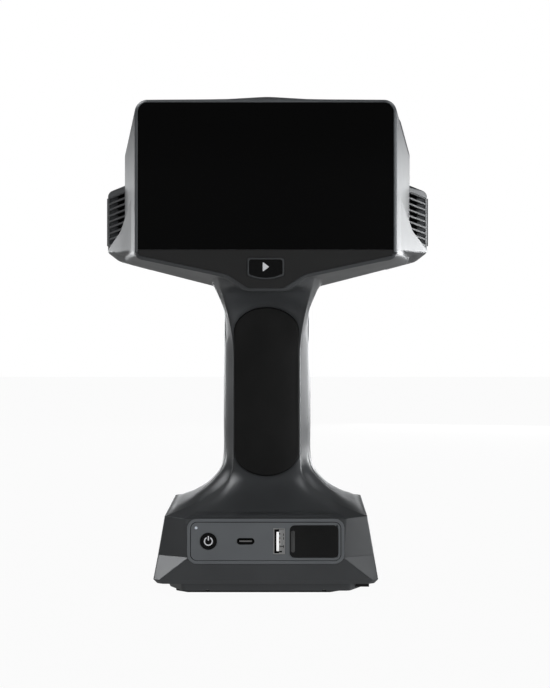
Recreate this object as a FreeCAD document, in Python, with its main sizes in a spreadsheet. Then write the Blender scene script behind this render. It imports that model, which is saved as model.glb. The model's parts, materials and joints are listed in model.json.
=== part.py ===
"""Handheld wireless 3-D scanner, built as an assembly of separate pieces.

Frame: millimetres, +Z up, +Y towards what is being scanned, +X to the operator's right.
The operator looks along +Y at the touch screen. The origin is the middle of the face the
scanner stands on, under the handle. Driving sizes live in the sheet "dims"; simple pieces
are bound to its cells, and the lofted housings read the same cells.
"""
import FreeCAD, Part
import math
import os
import re

import Sketcher

Vec = FreeCAD.Vector
doc = FreeCAD.newDocument("handheld_scanner")

# ------------------------------------------------------------------ driving sizes

SIZES = {
    # housing
    "wall": 2.4, "seam": 0.12, "frame_seam": 0.25,
    "handle_split": -8.0, "head_split": 22.0, "neck_height": 158.0,
    # head: planes along Y
    "rear_plane": -57.9, "bevel": 1.1, "front_plane": 46.0,
    "screen_seam": -53.5, "frame_foot": 175.5, "bulkhead": 2.1,
    # head: rear outline
    "rear_half": 65.9, "rear_top": 252.7, "rear_corner": 173.9, "screen_radius": 5.4,
    "beard_half": 9.4, "beard_low": 157.0, "beard_top_half": 19.8, "beard_top": 164.0,
    # head: widest outline
    "mid_half": 79.0, "mid_corner": 173.8, "mid_side_top": 233.7,
    "mid_shoulder_half": 73.0, "mid_shoulder": 256.2,
    "mid_roof_half": 36.0, "mid_roof": 264.3, "roof_peak": 266.4,
    # head: front outline is the widest one drawn in by this much
    "front_inset": 6.5,
    # head: the crease down each side, where the outline is the widest one scaled about the waist
    "crease_plane": -2.0, "crease_share": 0.9755, "waist": 129.0,
    # wings that carry the side vents
    "wing_half": 88.3, "wing_root": 66.0, "wing_foot": 179.5, "wing_top": 212.8,
    "vent_rear": -0.1, "vent_front": 18.0, "wing_front": 35.0, "wing_return": 44.0,
    "wing_lip": 0.6, "lip_low": 183.2, "lip_high": 209.5, "lip_thick": 1.6,
    # the lobe that sweeps out under each vent: where its rear face starts, and its top edge
    "lobe_rear": -52.0, "lobe_turn_x": 78.2, "lobe_turn_z": 189.3, "lobe_slope": 0.8125,
    # vent slots
    "slot_pitch": 3.25, "slot_gap": 2.1, "slot_count": 9.0, "slot_top": 211.1, "slot_slant": 12.5,
    "slot_inner": 75.0, "slot_outer": 87.1, "slot_through": 82.4,
    # handle
    "grip_half": 17.2, "spine_half": 17.7, "spine_rear": -26.0, "spine_edge": -22.4,
    "handle_half": 23.6, "handle_mid": 4.0, "handle_front": 24.0, "handle_back": -22.0,
    "grip_low": 59.3, "grip_high": 148.4, "grip_end": 13.0, "grip_floor": -21.6,
    "front_grip_half": 12.5, "front_grip_low": 64.0, "front_grip_high": 138.0,
    "front_grip_floor": 21.8,
    # base
    "base_half": 57.6, "base_depth": 58.6, "base_low": 8.6, "base_lip": 6.4, "base_chamfer": 1.9,
    "shoulder_half": 52.4, "shoulder_rear": -56.2, "shoulder_front": 53.0,
    "shoulder_height": 41.7, "shoulder_tilt": 0.037, "flare_top": 71.0,
    "land_half": 41.5, "mitre_height": 20.0,
    # port panel
    "panel_width": 80.4, "panel_height": 23.0, "panel_radius": 5.0, "panel_z": 28.2,
    "panel_face": -57.1, "panel_thick": 3.2, "panel_border": 1.6, "panel_groove": 0.4,
    "panel_lean": 4.4,
    # scan button and trim
    "trim_thick": 1.4, "trim_top": 177.1, "scan_z": 167.4,
    "scan_width": 18.6, "scan_height": 11.0, "scan_ring": 0.7,
    # screen
    "glass_half": 65.3, "glass_low": 177.3, "glass_high": 252.3, "glass_thick": 1.1,
    "glass_radius": 5.0, "display_half": 62.0, "display_low": 180.6, "display_high": 250.0,
    "display_thick": 2.4,
    # ports
    "port_board_y": 9.85, "board_thick": 1.6, "socket_depth": 9.6, "socket_set": 0.1,
    "power_x": -29.3, "power_radius": 4.25,
    "light_x": -35.6, "light_z": 35.0, "light_radius": 0.7,
    "usb_c_x": -10.3, "usb_c_width": 8.9, "usb_c_height": 3.1,
    "usb_a_x": 6.9, "usb_a_width": 5.9, "usb_a_height": 13.1, "usb_wall": 0.4,
    "cover_x": 24.75, "cover_width": 24.3, "cover_height": 15.9, "cover_radius": 3.0,
    "cover_thick": 2.2, "cover_pin_x": 35.6, "cover_pin_y": 1.1, "cover_pin_radius": 0.6,
    "knuckle_radius": 1.05, "knuckle_room": 1.65,
    # battery cassette
    "cell_radius": 9.15, "cell_length": 65.0, "case_wall": 0.8, "bay_gap": 0.5, "bay_wall": 1.0,
    "battery_y": 4.0, "case_high": 142.5, "bay_low": 9.05, "bay_high": 149.0,
    "foot_left": -47.5, "foot_right": 40.0, "foot_depth": 42.0, "foot_radius": 9.0,
    "pad_thick": 1.2, "foot_thick": 3.0,
    "tray_half": 52.4, "tray_low": 2.0, "tray_shelf": 6.3, "tray_top": 9.0, "tray_draft": 2.1,
    "latch_x": 53.4, "latch_y": -37.0, "latch_length": 14.0, "latch_low": 3.2,
    "latch_height": 3.0, "latch_depth": 9.0, "latch_travel": 2.5,
    # head electronics
    "main_width": 118.0, "main_height": 56.0, "main_y": -44.0, "main_z": 214.0,
    "sink_width": 84.0, "sink_height": 44.0, "sink_y": -39.4, "sink_base": 3.0,
    "fin_depth": 18.0, "fin_thick": 1.2, "fin_count": 9.0,
    "fan_size": 30.0, "fan_depth": 10.0, "fan_x": 58.5, "fan_y": 12.0, "fan_z": 198.0,
    "fan_bore": 13.9, "hub_radius": 6.0, "blade_radius": 13.3, "blade_count": 7.0,
    # optics
    "bench_y": 18.0, "bench_thick": 4.0, "bench_half": 56.0, "bench_height": 62.0,
    "camera_x": 40.0, "optic_z": 216.0, "camera_size": 26.0, "camera_depth": 22.0,
    "barrel_radius": 9.0, "barrel_front": 39.0, "projector_radius": 12.0,
    "texture_z": 187.0, "texture_radius": 5.5,
    "face_back": 42.8, "face_front": 45.6, "window_thick": 1.4,
    "camera_window": 12.5, "projector_window": 15.0, "texture_window": 8.0,
    # fasteners
    "screw_radius": 1.25, "screw_head": 2.4, "screw_head_height": 1.6, "screw_length": 8.0,
    "hex_radius": 1.1,
}


def make_sheet():
    """Writes every driving size into a spreadsheet cell with an alias of its own."""
    cells = doc.addObject("Spreadsheet::Sheet", "dims")
    for row, (alias, value) in enumerate(SIZES.items(), start=1):
        cells.set(f"A{row}", alias)
        cells.set(f"B{row}", str(value))
        cells.setAlias(f"B{row}", alias)
    doc.recompute()
    return cells


sheet = make_sheet()


def dim(alias):
    """The value of one sheet cell."""
    return float(getattr(sheet, alias))


# ------------------------------------------------------------------ small modelling helpers

finished = []


def formula(text):
    """Turns size names in a formula into references to the sheet."""

    def reference(word):
        name = word.group()
        return f"dims.{name}" if name in SIZES else name

    return re.sub(r"[a-z][a-z_]+", reference, str(text))


def bind(item, **properties):
    """Binds properties to sheet formulas; x, y and z mean the placement's position."""
    for name, text in properties.items():
        path = f"Placement.Base.{name}" if name in "xyz" else name
        item.setExpression(path, formula(text))


def box(name, length, width, height, x, y, z):
    """A block centred on x, with its nearest face at y and its underside at z."""
    item = doc.addObject("Part::Box", name)
    bind(item, Length=length, Width=width, Height=height, x=f"{x} - ({length}) / 2", y=y, z=z)
    return item


def block(name, length, width, height, x, y, z):
    """A block centred on x and z, with its rear face at y."""
    return box(name, length, width, height, x, y, f"{z} - ({height}) / 2")


def rod(name, radius, length, x, y, z, axis="y"):
    """A cylinder that starts at x, y, z and runs along an axis."""
    item = doc.addObject("Part::Cylinder", name)
    turn = {"x": (Vec(0, 1, 0), 90), "y": (Vec(1, 0, 0), -90), "z": (Vec(0, 0, 1), 0)}[axis]
    item.Placement.Rotation = FreeCAD.Rotation(*turn)
    bind(item, Radius=radius, Height=length, x=x, y=y, z=z)
    return item


def cut(name, base, *tools):
    """The base with every tool taken away."""
    for index, tool in enumerate(tools):
        item = doc.addObject("Part::Cut", name if index == len(tools) - 1 else f"{name}_cut")
        item.Base, item.Tool = base, tool
        base = item
    return base


def fuse(name, *items):
    """The items joined into one."""
    item = doc.addObject("Part::MultiFuse", name)
    item.Shapes = list(items)
    return item


def group(name, *items):
    """Separate solids kept together, such as a set of screws."""
    item = doc.addObject("Part::Compound", name)
    item.Links = list(items)
    return item


def plain(name, shape):
    """A piece whose shape is made directly, for lofts and cuts between lofts."""
    item = doc.addObject("Part::Feature", name)
    item.Shape = shape
    return item


def done(item, label):
    """Marks an object as one finished piece of the assembly and names it."""
    item.Label = label
    finished.append(item)
    return item


def rounded(points, to_vector):
    """A closed wire through corner points (a, b, radius), each corner rounded by an arc."""
    count = len(points)
    arcs = []
    for index, (a, b, radius) in enumerate(points):
        here = Vec(a, b, 0)
        back = Vec(*points[index - 1][:2], 0) - here
        ahead = Vec(*points[(index + 1) % count][:2], 0) - here
        back.normalize()
        ahead.normalize()
        half = back.getAngle(ahead) / 2
        reach = radius / math.tan(half)
        middle = back + ahead
        middle.normalize()
        bow = radius / math.sin(half) - radius
        arcs.append((here + back * reach, here + middle * bow, here + ahead * reach))
    edges = []
    for index, (start, mid, end) in enumerate(arcs):
        edges.append(Part.Arc(*[to_vector(p.x, p.y) for p in (start, mid, end)]).toShape())
        following = arcs[(index + 1) % count][0]
        edges.append(Part.makeLine(to_vector(end.x, end.y), to_vector(following.x, following.y)))
    return Part.Wire(edges)


def upright(y):
    """Maps outline points onto the plane at this y."""
    return lambda a, b: Vec(a, y, b)


def level(z):
    """Maps outline points onto the plane at this z."""
    return lambda a, b: Vec(a, b, z)


def mirrored(half):
    """A closed outline from its right half, listed from the bottom up, mirrored in x = 0."""
    left = [(-a, b, r) for a, b, r in reversed(half) if a > 0]
    return half + left


def inset(points, amount):
    """The same outline drawn in by an amount, with its radii reduced."""
    count = len(points)
    moved = []
    for index, (a, b, radius) in enumerate(points):
        here = Vec(a, b, 0)
        before = here - Vec(*points[index - 1][:2], 0)
        after = Vec(*points[(index + 1) % count][:2], 0) - here
        before.normalize()
        after.normalize()
        normal = Vec(-before.y - after.y, before.x + after.x, 0)
        normal.normalize()
        share = amount / math.cos(before.getAngle(after) / 2)
        moved.append((a + normal.x * share, b + normal.y * share, max(radius - amount, 0.8)))
    return moved


def prism(points, y_from, y_to):
    """An outline in x and z carried along Y."""
    face = Part.Face(rounded(points, upright(y_from)))
    return face.extrude(Vec(0, y_to - y_from, 0))


def column(points, z_from, z_to):
    """An outline in x and y carried along Z."""
    face = Part.Face(rounded(points, level(z_from)))
    return face.extrude(Vec(0, 0, z_to - z_from))


def rectangle(left, right, low, high, radius):
    """Corner points of a rectangle with rounded corners, anticlockwise."""
    return [(left, low, radius), (right, low, radius), (right, high, radius), (left, high, radius)]


def slab(x_from, x_to, y_from, y_to, z_from, z_to):
    """A plain block between two corners, for dividing housings."""
    return Part.makeBox(x_to - x_from, y_to - y_from, z_to - z_from, Vec(x_from, y_from, z_from))


REACH = 400.0


# ------------------------------------------------------------------ head outlines

def rear_outline(grow):
    """Outline of the head behind the screen; grow widens it, which makes the bevel."""
    half, top = dim("rear_half") + grow, dim("rear_top") + grow
    radius = dim("screen_radius") + grow
    leg = radius * (2 - math.sqrt(2))
    slope = 0.2
    return mirrored([
        (dim("beard_half"), dim("beard_low") - grow, 4.0),
        (dim("beard_top_half") + grow / 2, dim("beard_top") - grow, 9.0),
        (half, dim("rear_corner") - grow, 3.5 + grow),
        (half, top - leg, radius - 0.05),
        (half - leg, top, radius - 0.05),
        (dim("mid_roof_half") - 3, top + slope, 60.0),
        (0, top + 3 * slope, 60.0),
    ])


def mid_outline():
    """The head's widest outline."""
    return mirrored([
        (22.0, 159.2, 6.0),
        (34.0, 162.3, 9.0),
        (dim("mid_half"), dim("mid_corner"), 5.0),
        (dim("mid_half"), dim("mid_side_top"), 8.0),
        (dim("mid_shoulder_half"), dim("mid_shoulder"), 8.0),
        (dim("mid_roof_half"), dim("mid_roof"), 40.0),
        (0, dim("roof_peak"), 60.0),
    ])


def crease_outline():
    """The head's outline at the crease down its sides."""
    share, waist = dim("crease_share"), dim("waist")
    return [(a * share, waist + (b - waist) * share, radius) for a, b, radius in mid_outline()]


def head_solid(thin=0.0):
    """The head's body, or its hollow when thin is the wall's thickness.

    The hollow starts behind the bulkhead under the screen and runs out through the front.
    """
    rear, bevel = dim("rear_plane"), dim("bevel")
    rings = [
        (rear, rear_outline(0.0)),
        (rear + bevel, rear_outline(bevel)),
        (dim("crease_plane"), crease_outline()),
        (dim("head_split"), mid_outline()),
        (dim("front_plane") - 4.0, inset(mid_outline(), dim("front_inset") - 2.5)),
        (dim("front_plane"), inset(mid_outline(), dim("front_inset"))),
    ]
    if thin:
        rings = [(y, inset(points, thin)) for y, points in rings[1:]]
        rings[0] = (dim("screen_seam") + dim("bulkhead"), rings[0][1])
        rings[-1] = (dim("front_plane") + 1.0, rings[-1][1])
    wires = [rounded(points, upright(y)) for y, points in rings]
    return Part.makeLoft(wires, True, True)


def wing_part(rear, thin):
    """A solid inside the wing's outline, whose rear face runs from the root at this y."""
    root, half, front = dim("wing_root"), dim("wing_half"), dim("wing_front")
    foot, top, vent = dim("wing_foot"), dim("wing_top"), dim("vent_front")
    plan = [(root, rear, 1), (half, vent, 1.5), (half, front, 4), (root, dim("wing_return"), 3)]
    outline = [(root - 6, foot - 10.5, 1), (half - 5.8, foot - 4.5, 3), (half, foot, 2.5),
               (half, top, 4), (root - 6, top + 11.4, 1)]
    drawn_in = [(-52, 6.5), (0, 3.0), (12, 0.9), (vent, 0), (front, 0), (front + 10, 3)]
    rings = [rounded(inset(outline, amount + thin), upright(y)) for y, amount in drawn_in]
    return column(inset(plan, thin), foot - 30, top + 20).common(Part.makeLoft(rings, True, True))


def vent_face(x):
    """How far along Y the vent's face lies at this distance from the middle."""
    run = dim("wing_half") - dim("mid_half") * dim("crease_share")
    slope = (dim("vent_front") - dim("vent_rear")) / run
    return dim("vent_front") - (dim("wing_half") - x) * slope


def wing_solid(thin=0.0):
    """The right-hand wing: the part that carries the vent, and the lobe below it."""
    vent = wing_part(vent_face(dim("wing_root")), thin)
    lobe = wing_part(dim("lobe_rear"), thin)
    turn_x, turn_z = dim("lobe_turn_x"), dim("lobe_turn_z")
    root, outer = dim("wing_root") - 6, dim("wing_half") + 7
    low = dim("wing_foot") - 20
    edge = [(root, low, 1), (outer, low, 1), (outer, turn_z - (outer - turn_x) * dim("lobe_slope"), 1),
            (turn_x, turn_z, 6), (turn_x - 8.2, turn_z + 16.7, 1), (root, turn_z + 16.7, 1)]
    return vent.fuse(lobe.common(prism(inset(edge, thin), -60, 60)))


def both_sides(shape):
    """A shape and its mirror image in the plane x = 0."""
    return [shape, shape.mirror(Vec(0, 0, 0), Vec(1, 0, 0))]


# ------------------------------------------------------------------ handle and flares

def superellipse(half, front, angle, power):
    """A point of a superellipse at an angle from the x axis."""
    c, s = math.cos(math.radians(angle)), math.sin(math.radians(angle))
    return (
        half * math.copysign(abs(c) ** (2 / power), c),
        front * math.copysign(abs(s) ** (2 / power), s),
    )


def handle_points(thin):
    """Right half of the handle's section: rear face, ridge, step, side and front points."""
    wall = thin
    edge = dim("spine_half") - wall
    floor = dim("grip_floor") + 2.0 if wall else None
    rear = [(0, floor or dim("spine_rear")), (edge * 0.55, floor or -25.2),
            (edge, floor or dim("spine_edge"))]
    middle, half = dim("handle_mid"), dim("handle_half") - wall
    back, front = middle - dim("handle_back") - wall, dim("handle_front") - middle - wall
    side = []
    for angle in (-47, -30, -14, 5, 25, 45):
        x, y = superellipse(half, front if angle > 0 else back, angle, 2.4)
        side.append((x, middle + y))
    side[0] = (edge + 0.3, side[0][1] + wall * 0.5)
    x, y = superellipse(half, front, 68, 2.4)
    return rear, side, [(x, middle + y), (0, middle + front)]


def shoulder_points(thin):
    """Right half of the section where the flare meets the base's shoulder."""
    half, rear = dim("shoulder_half") - thin, dim("shoulder_rear") + thin
    front, land = dim("shoulder_front") - thin, dim("land_half") - thin
    corner = -47.0
    backs = [(0, rear), (land * 0.62, rear), (land, rear)]
    side = [(half, corner), (half, -26), (half, -4), (half, 16), (half, 32), (half - 2, front - 8)]
    return backs, side, [(half - 22, front), (0, front)]


def neck_points(thin):
    """Right half of the section inside the head's underside."""
    half = 28.0 - thin
    rear = -56.0 + 2 * thin
    backs = [(0, rear), (half * 0.5, rear + 1.5), (half - 3, rear + 9)]
    side = [(half, -36 + thin), (half + 1, -20), (half + 1, -4), (half, 10), (half - 1, 22),
            (half - 6, 33 - thin)]
    return backs, side, [(half * 0.5, 37 - thin), (0, 38 - thin)]


def mixed(first, second, share):
    """Points part of the way from one list to another."""
    return [(a + (c - a) * share, b + (d - b) * share) for (a, b), (c, d) in zip(first, second)]


def fade(value, start, end, power):
    """0 at start and 1 at end, easing in by a power."""
    share = (value - start) / (end - start)
    return max(0.0, min(1.0, share)) ** power


def section(z, thin):
    """The closed section of base flare, handle and neck at one height."""
    rear, side, front = handle_points(thin)
    top, bottom = dim("flare_top"), dim("shoulder_height")
    base = shoulder_points(thin)
    neck = neck_points(thin)
    rear = [
        mixed([rear[0]], [base[0][0]], fade(z, top - 6, bottom, 2.2))[0],
        mixed([rear[1]], [base[0][1]], fade(z, top - 4, bottom, 2.4))[0],
        mixed([rear[2]], [base[0][2]], fade(z, top, bottom, 3.4))[0],
    ]
    side = mixed(side, base[1], fade(z, top, bottom, 2.3))
    side[0] = mixed([handle_points(thin)[1][0]], [base[1][0]], fade(z, top, bottom, 3.2))[0]
    front = mixed(front, base[2], fade(z, top, bottom, 2.2))
    neck_high = 163.0
    rear = [
        mixed([rear[0]], [neck[0][0]], fade(z, 146, 158, 2.0))[0],
        mixed([rear[1]], [neck[0][1]], fade(z, 142, 160, 2.0))[0],
        mixed([rear[2]], [neck[0][2]], fade(z, 124, neck_high, 1.7))[0],
    ]
    near = [fade(z, 126, neck_high, 1.8), fade(z, 134, 161, 2.0)]
    far = [fade(z, 146, 160.5, 2.6)] * (len(side) - len(near))
    side = [mixed([a], [b], share)[0] for a, b, share in zip(side, neck[1], near + far)]
    front = mixed(front, neck[2], fade(z, 138, neck_high + 4, 2.4))
    tilt = dim("shoulder_tilt") * fade(z, top, bottom, 1.5)

    def place(points):
        return [Vec(x, y, z + tilt * y) for x, y in points]

    def flip(points):
        return [Vec(-p.x, p.y, p.z) for p in points]

    rear, side, front = place(rear), place(side), place(front)
    edges = [spline(flip(rear)[:0:-1] + rear)]
    edges.append(Part.makeLine(rear[-1], side[0]))
    edges.append(spline(side))
    edges.append(spline([side[-1]] + front + flip(front)[-2::-1] + [flip(side)[-1]]))
    edges.append(spline(flip(side)[::-1]))
    edges.append(Part.makeLine(flip(side)[0], flip(rear)[-1]))
    return Part.Wire(edges)


def spline(points):
    """A smooth edge through points, with evenly spaced parameters so sections match."""
    curve = Part.BSplineCurve()
    last = len(points) - 1
    curve.interpolate(Points=points, Parameters=[i / last for i in range(last + 1)])
    return curve.toShape()


def handle_solid(thin=0.0):
    """Flare, handle and neck as one smooth loft, or their hollow."""
    low, top = dim("shoulder_height"), dim("flare_top")
    heights = [low, low + 1.5, low + 3.5, low + 6, low + 9, low + 12.5, low + 17, low + 22, top]
    heights += [85, 100, 115, 125, 133, 140, 146, 150, 153.5, 156.5, 159.5, 163]
    return Part.makeLoft([section(z, thin) for z in heights], True, False, False, 3)


def base_outline(side, rear, front, land, corner):
    """Plan of the base: a rear land between cut corners, and wider cuts at the front."""
    cut_off = 9
    return [(-land, -rear, 1.6), (land, -rear, 1.6), (side, -corner, 1.6),
            (side, front - cut_off, 4), (side - cut_off, front, 4), (cut_off - side, front, 4),
            (-side, front - cut_off, 4), (-side, -corner, 1.6)]


def lip_outline():
    """Plan of the base at its lowest edge."""
    half, depth = dim("base_half") - dim("base_chamfer"), dim("base_depth") - dim("base_chamfer")
    return base_outline(half, depth, depth - 2, half - 3, depth - 3)


def skirt_solid(thin=0.0):
    """The base below its shoulder, drafted outwards to its foot, or its hollow."""
    half, depth, land = dim("base_half"), dim("base_depth"), dim("land_half")
    corner = 46
    foot = base_outline(half, depth, depth - 2, half - 3, depth - 3)
    mitre = base_outline(half - 1.7, depth - 0.9, depth - 2.7, land - 2, corner)
    shoulder = base_outline(dim("shoulder_half"), -dim("shoulder_rear"), dim("shoulder_front"),
                            land, corner)
    rings = [(dim("base_lip"), lip_outline(), 0), (dim("base_low"), foot, 0),
             (dim("mitre_height"), mitre, 0), (dim("shoulder_height"), shoulder, 1)]
    if thin:
        rings = [(z, inset(points, thin), tilted) for z, points, tilted in rings]
        rings[0] = (dim("base_lip") - 1.0, rings[0][1], 0)
    tilt = dim("shoulder_tilt")

    def onto(z, tilted):
        return lambda a, b: Vec(a, b, z + tilt * b * tilted)

    wires = [rounded(points, onto(z, tilted)) for z, points, tilted in rings]
    return Part.makeLoft(wires, True, True)


# ------------------------------------------------------------------ where things sit

def panel_place():
    """Placement of the port panel: its own frame has the outer face at y = 0."""
    turn = FreeCAD.Rotation(Vec(1, 0, 0), -dim("panel_lean"))
    return FreeCAD.Placement(Vec(0, dim("panel_face"), dim("panel_z")), turn)


def on_panel(item):
    """Moves an object built in the panel's own frame into its place on the base."""
    item.Placement = panel_place()
    return item


def case_outline(grow):
    """Plan of the battery case, widened by an amount."""
    radius = dim("cell_radius") + dim("case_wall") + 0.05 + grow
    half = 2 * dim("cell_radius") + dim("case_wall") + 0.1 + grow
    middle = dim("battery_y")
    return rectangle(-half, half, middle - radius, middle + radius, radius - 0.05)


def foot_outline(grow):
    """Plan of the battery's foot, widened by an amount."""
    depth = dim("foot_depth") + grow
    left, right = dim("foot_left") - grow, dim("foot_right") + grow
    return rectangle(left, right, -depth, depth, dim("foot_radius") + grow)


def tray_outline(grow):
    """Plan of the bottom tray, widened by an amount."""
    half, rear, front = dim("tray_half") + grow, -52.4 - grow, 50.4 + grow
    land, corner = 43.0, -33.0
    return [(-land, rear, 3), (land, rear, 3), (half, corner, 3), (half, front - 8, 3),
            (half - 8, front, 3), (8 - half, front, 3), (-half, front - 8, 3), (-half, corner, 3)]


def scan_outline(grow):
    """Outline of the scan button: flat top, straight sides and a bowed bottom."""
    half, low = dim("scan_width") / 2 + grow, dim("scan_z") - dim("scan_height") / 2 - grow
    top = dim("scan_z") + dim("scan_height") / 2 + grow
    return mirrored([
        (0, low, 14.0),
        (half * 0.55, low + 0.7, 12.0),
        (half, low + 2.0, 1.3),
        (half, top, 1.4),
    ])


def pad_prism(half, low, high, grow, y_from, y_to):
    """A grip pad's outline, straight sides with half-elliptic ends, carried along Y."""
    half, end = half + grow, dim("grip_end") * half / dim("grip_half") + grow
    top, bottom = high + grow - end, low - grow + end

    def half_ellipse(z, first, last):
        centre = Vec(0, y_from, z)
        side, up = centre + Vec(half, 0, 0), centre + Vec(0, 0, end)
        return Part.ArcOfEllipse(Part.Ellipse(side, up, centre), first, last).toShape()

    if end > half:
        raise ValueError("the grip's ends are taller than it is wide")
    upper, lower = half_ellipse(top, 0, math.pi), half_ellipse(bottom, math.pi, 2 * math.pi)
    edges = [upper, lower]
    for x in (-half, half):
        edges.append(Part.makeLine(Vec(x, y_from, bottom), Vec(x, y_from, top)))
    wire = Part.Wire(Part.__sortEdges__(edges))
    return Part.Face(wire).extrude(Vec(0, y_to - y_from, 0))


def rear_pad(grow, y_from, y_to):
    """The rear grip's outline carried along Y."""
    return pad_prism(dim("grip_half"), dim("grip_low"), dim("grip_high"), grow, y_from, y_to)


def front_pad(grow, y_from, y_to):
    """The front grip's outline carried along Y."""
    low, high = dim("front_grip_low"), dim("front_grip_high")
    return pad_prism(dim("front_grip_half"), low, high, grow, y_from, y_to)


HEAD_SCREWS = [(-70.5, 224.0), (70.5, 224.0), (-60.0, 175.2), (60.0, 175.2)]
BASE_SCREWS = [(-40.0, 22.0), (40.0, 22.0)]
TRAY_SCREWS = [(-30.0, -48.0), (30.0, -48.0), (-30.0, 46.5), (30.0, 46.5)]
HEAD_SEAT, BASE_SEAT, TRAY_SEAT = 28.0, -2.0, 4.0


# ------------------------------------------------------------------ housings

def bosses():
    """Columns left standing inside the hollow for screws, and the frame round the port panel."""
    solids = []
    for x, z in HEAD_SCREWS:
        solids.append(Part.makeCylinder(5.2, HEAD_SEAT + 14, Vec(x, -14, z), Vec(0, 1, 0)))
    for x, z in BASE_SCREWS:
        solids.append(Part.makeCylinder(4.5, 80, Vec(x, -22, z), Vec(0, 1, 0)))
    for x, y in TRAY_SCREWS:
        solids.append(Part.makeCylinder(6.8, 7.0, Vec(x, y, 9.1)))
    frame_half, frame_low = dim("panel_width") / 2 + 3, dim("panel_height") / 2 + 3
    frame = slab(-frame_half, frame_half, 0, 5.4, -frame_low, frame_low)
    frame.Placement = panel_place()
    return solids + [frame]


def screw_holes():
    """Holes for the housing's screws, with room for their heads."""
    radius, head = dim("screw_radius") + 0.05, dim("screw_head") + 0.3
    solids = []
    for x, z in HEAD_SCREWS:
        solids.append(Part.makeCylinder(radius, 9, Vec(x, HEAD_SEAT - 9, z), Vec(0, 1, 0)))
        solids.append(Part.makeCylinder(head, 12, Vec(x, HEAD_SEAT, z), Vec(0, 1, 0)))
    for x, z in BASE_SCREWS:
        solids.append(Part.makeCylinder(radius, 9, Vec(x, BASE_SEAT - 9, z), Vec(0, 1, 0)))
        solids.append(Part.makeCylinder(head, 70, Vec(x, BASE_SEAT, z), Vec(0, 1, 0)))
    for x, y in TRAY_SCREWS:
        solids.append(Part.makeCylinder(radius, 5, Vec(x, y, 8)))
    return solids


def vent_outline(left, right, grow):
    """The vent's outline in x and z: a sloping top, and a bottom that follows the lobe's edge."""
    lobe = dim("lobe_slope")
    fall = math.tan(math.radians(dim("slot_slant")))
    high, inner = dim("slot_top") + 0.5 + grow, 77.7
    turn_x, turn_z = dim("lobe_turn_x") + 1.0, dim("lobe_turn_z") - 0.4 - grow
    return [(turn_x, turn_z, 0.5), (right, turn_z - (right - turn_x) * lobe, 0.4),
            (right, high - (right - inner) * fall, 0.4), (left, high + (inner - left) * fall, 0.4),
            (left, turn_z + (turn_x - left) * 1.5, 0.4)]


def grille_zone(grow):
    """The part of the right wing's wall that comes out as the vent grille."""
    inner, thick, outer = 77.35, dim("slot_through"), 87.4
    depth, back = 4.5, dim("vent_front") + 0.6
    plan = [(inner, vent_face(inner) - 1, 0.2), (outer, vent_face(outer) - 1, 0.2),
            (outer, back, 0.3), (thick, back, 0.3), (thick, vent_face(thick) + depth, 0.3),
            (inner, vent_face(inner) + depth, 0.3)]
    outline = vent_outline(inner - grow, outer + grow, grow)
    return column(inset(plan, -grow), 150, 240).common(prism(outline, -40, 60))


def vent_slots():
    """Slanting slots, right through near the head and shallow towards the wing's edge."""
    inner, outer, through = dim("slot_inner"), dim("slot_outer"), dim("slot_through")
    rear, front = 0.1, 30.0
    plan = [(inner, rear, 0.05), (outer, rear, 0.05), (outer, vent_face(outer) + 0.7, 0.05),
            (through, vent_face(through) + 7.0, 0.05), (through, front, 0.05), (inner, front, 0.05)]
    space = column(plan, 150, 240).common(prism(vent_outline(inner, outer, -0.3), -40, 60))
    slots = []
    for index in range(int(dim("slot_count"))):
        slot = slab(-30, 30, -30, 60, -dim("slot_gap"), 0)
        slot.rotate(Vec(0, 0, 0), Vec(0, 1, 0), dim("slot_slant"))
        slot.translate(Vec(77.7, 0, dim("slot_top") - index * dim("slot_pitch")))
        slots.append(slot.common(space))
    return [slot for slot in slots if slot.Volume > 1]


def wing_lip():
    """The thin upright edge that stands proud along the outside of the right wing."""
    half, rear = dim("wing_half"), dim("vent_front") + 1.2
    return slab(half - 1.8, half + dim("wing_lip"), rear, rear + dim("lip_thick"),
                dim("lip_low"), dim("lip_high"))


def make_housings():
    """The two halves of the housing and the two vent grilles."""
    outer = head_solid().fuse([handle_solid(), skirt_solid()] + both_sides(wing_solid()))
    wall = dim("wall")
    inner = head_solid(wall).fuse([handle_solid(wall), skirt_solid(wall)])
    inner = inner.fuse(both_sides(wing_solid(wall)))
    hollow = inner.cut(bosses())
    shell = outer.cut(hollow)

    seam, rear = dim("seam"), dim("rear_plane")
    shell = shell.fuse(both_sides(wing_lip()))
    slots = Part.makeCompound(vent_slots())
    grille = largest(outer.common(grille_zone(0)).cut(slots))
    openings = both_sides(grille_zone(seam)) + both_sides(slots)

    screen_zone = slab(-REACH, REACH, -REACH, dim("screen_seam"), dim("frame_foot"), REACH)
    trim = trim_outline(0.15)
    pockets = [
        screen_zone,
        prism(trim, rear - 5, rear + dim("trim_thick") + 0.1),
        prism(scan_outline(1.6), rear - 5, rear + 12),
        prism(rectangle(-9, 9, 186, 200, 2), rear, rear + 12),
        rear_pad(0.1, -REACH / 8, dim("grip_floor")),
        front_pad(0.1, dim("front_grip_floor"), REACH / 8),
        panel_pocket(),
    ]
    shell = shell.cut(pockets + openings + screw_holes())

    neck, split, low_split = dim("neck_height"), dim("head_split"), dim("handle_split")
    back = slab(-REACH, REACH, -REACH, split - seam / 2, neck, REACH)
    back = back.fuse(slab(-REACH, REACH, -REACH, low_split - seam / 2, -REACH, neck))
    ahead = slab(-REACH, REACH, split + seam / 2, REACH, neck - seam, REACH)
    ahead = ahead.fuse(slab(-REACH, REACH, low_split + seam / 2, REACH, -REACH, neck - seam))
    return shell.common(back), shell.common(ahead), both_sides(grille)


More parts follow.
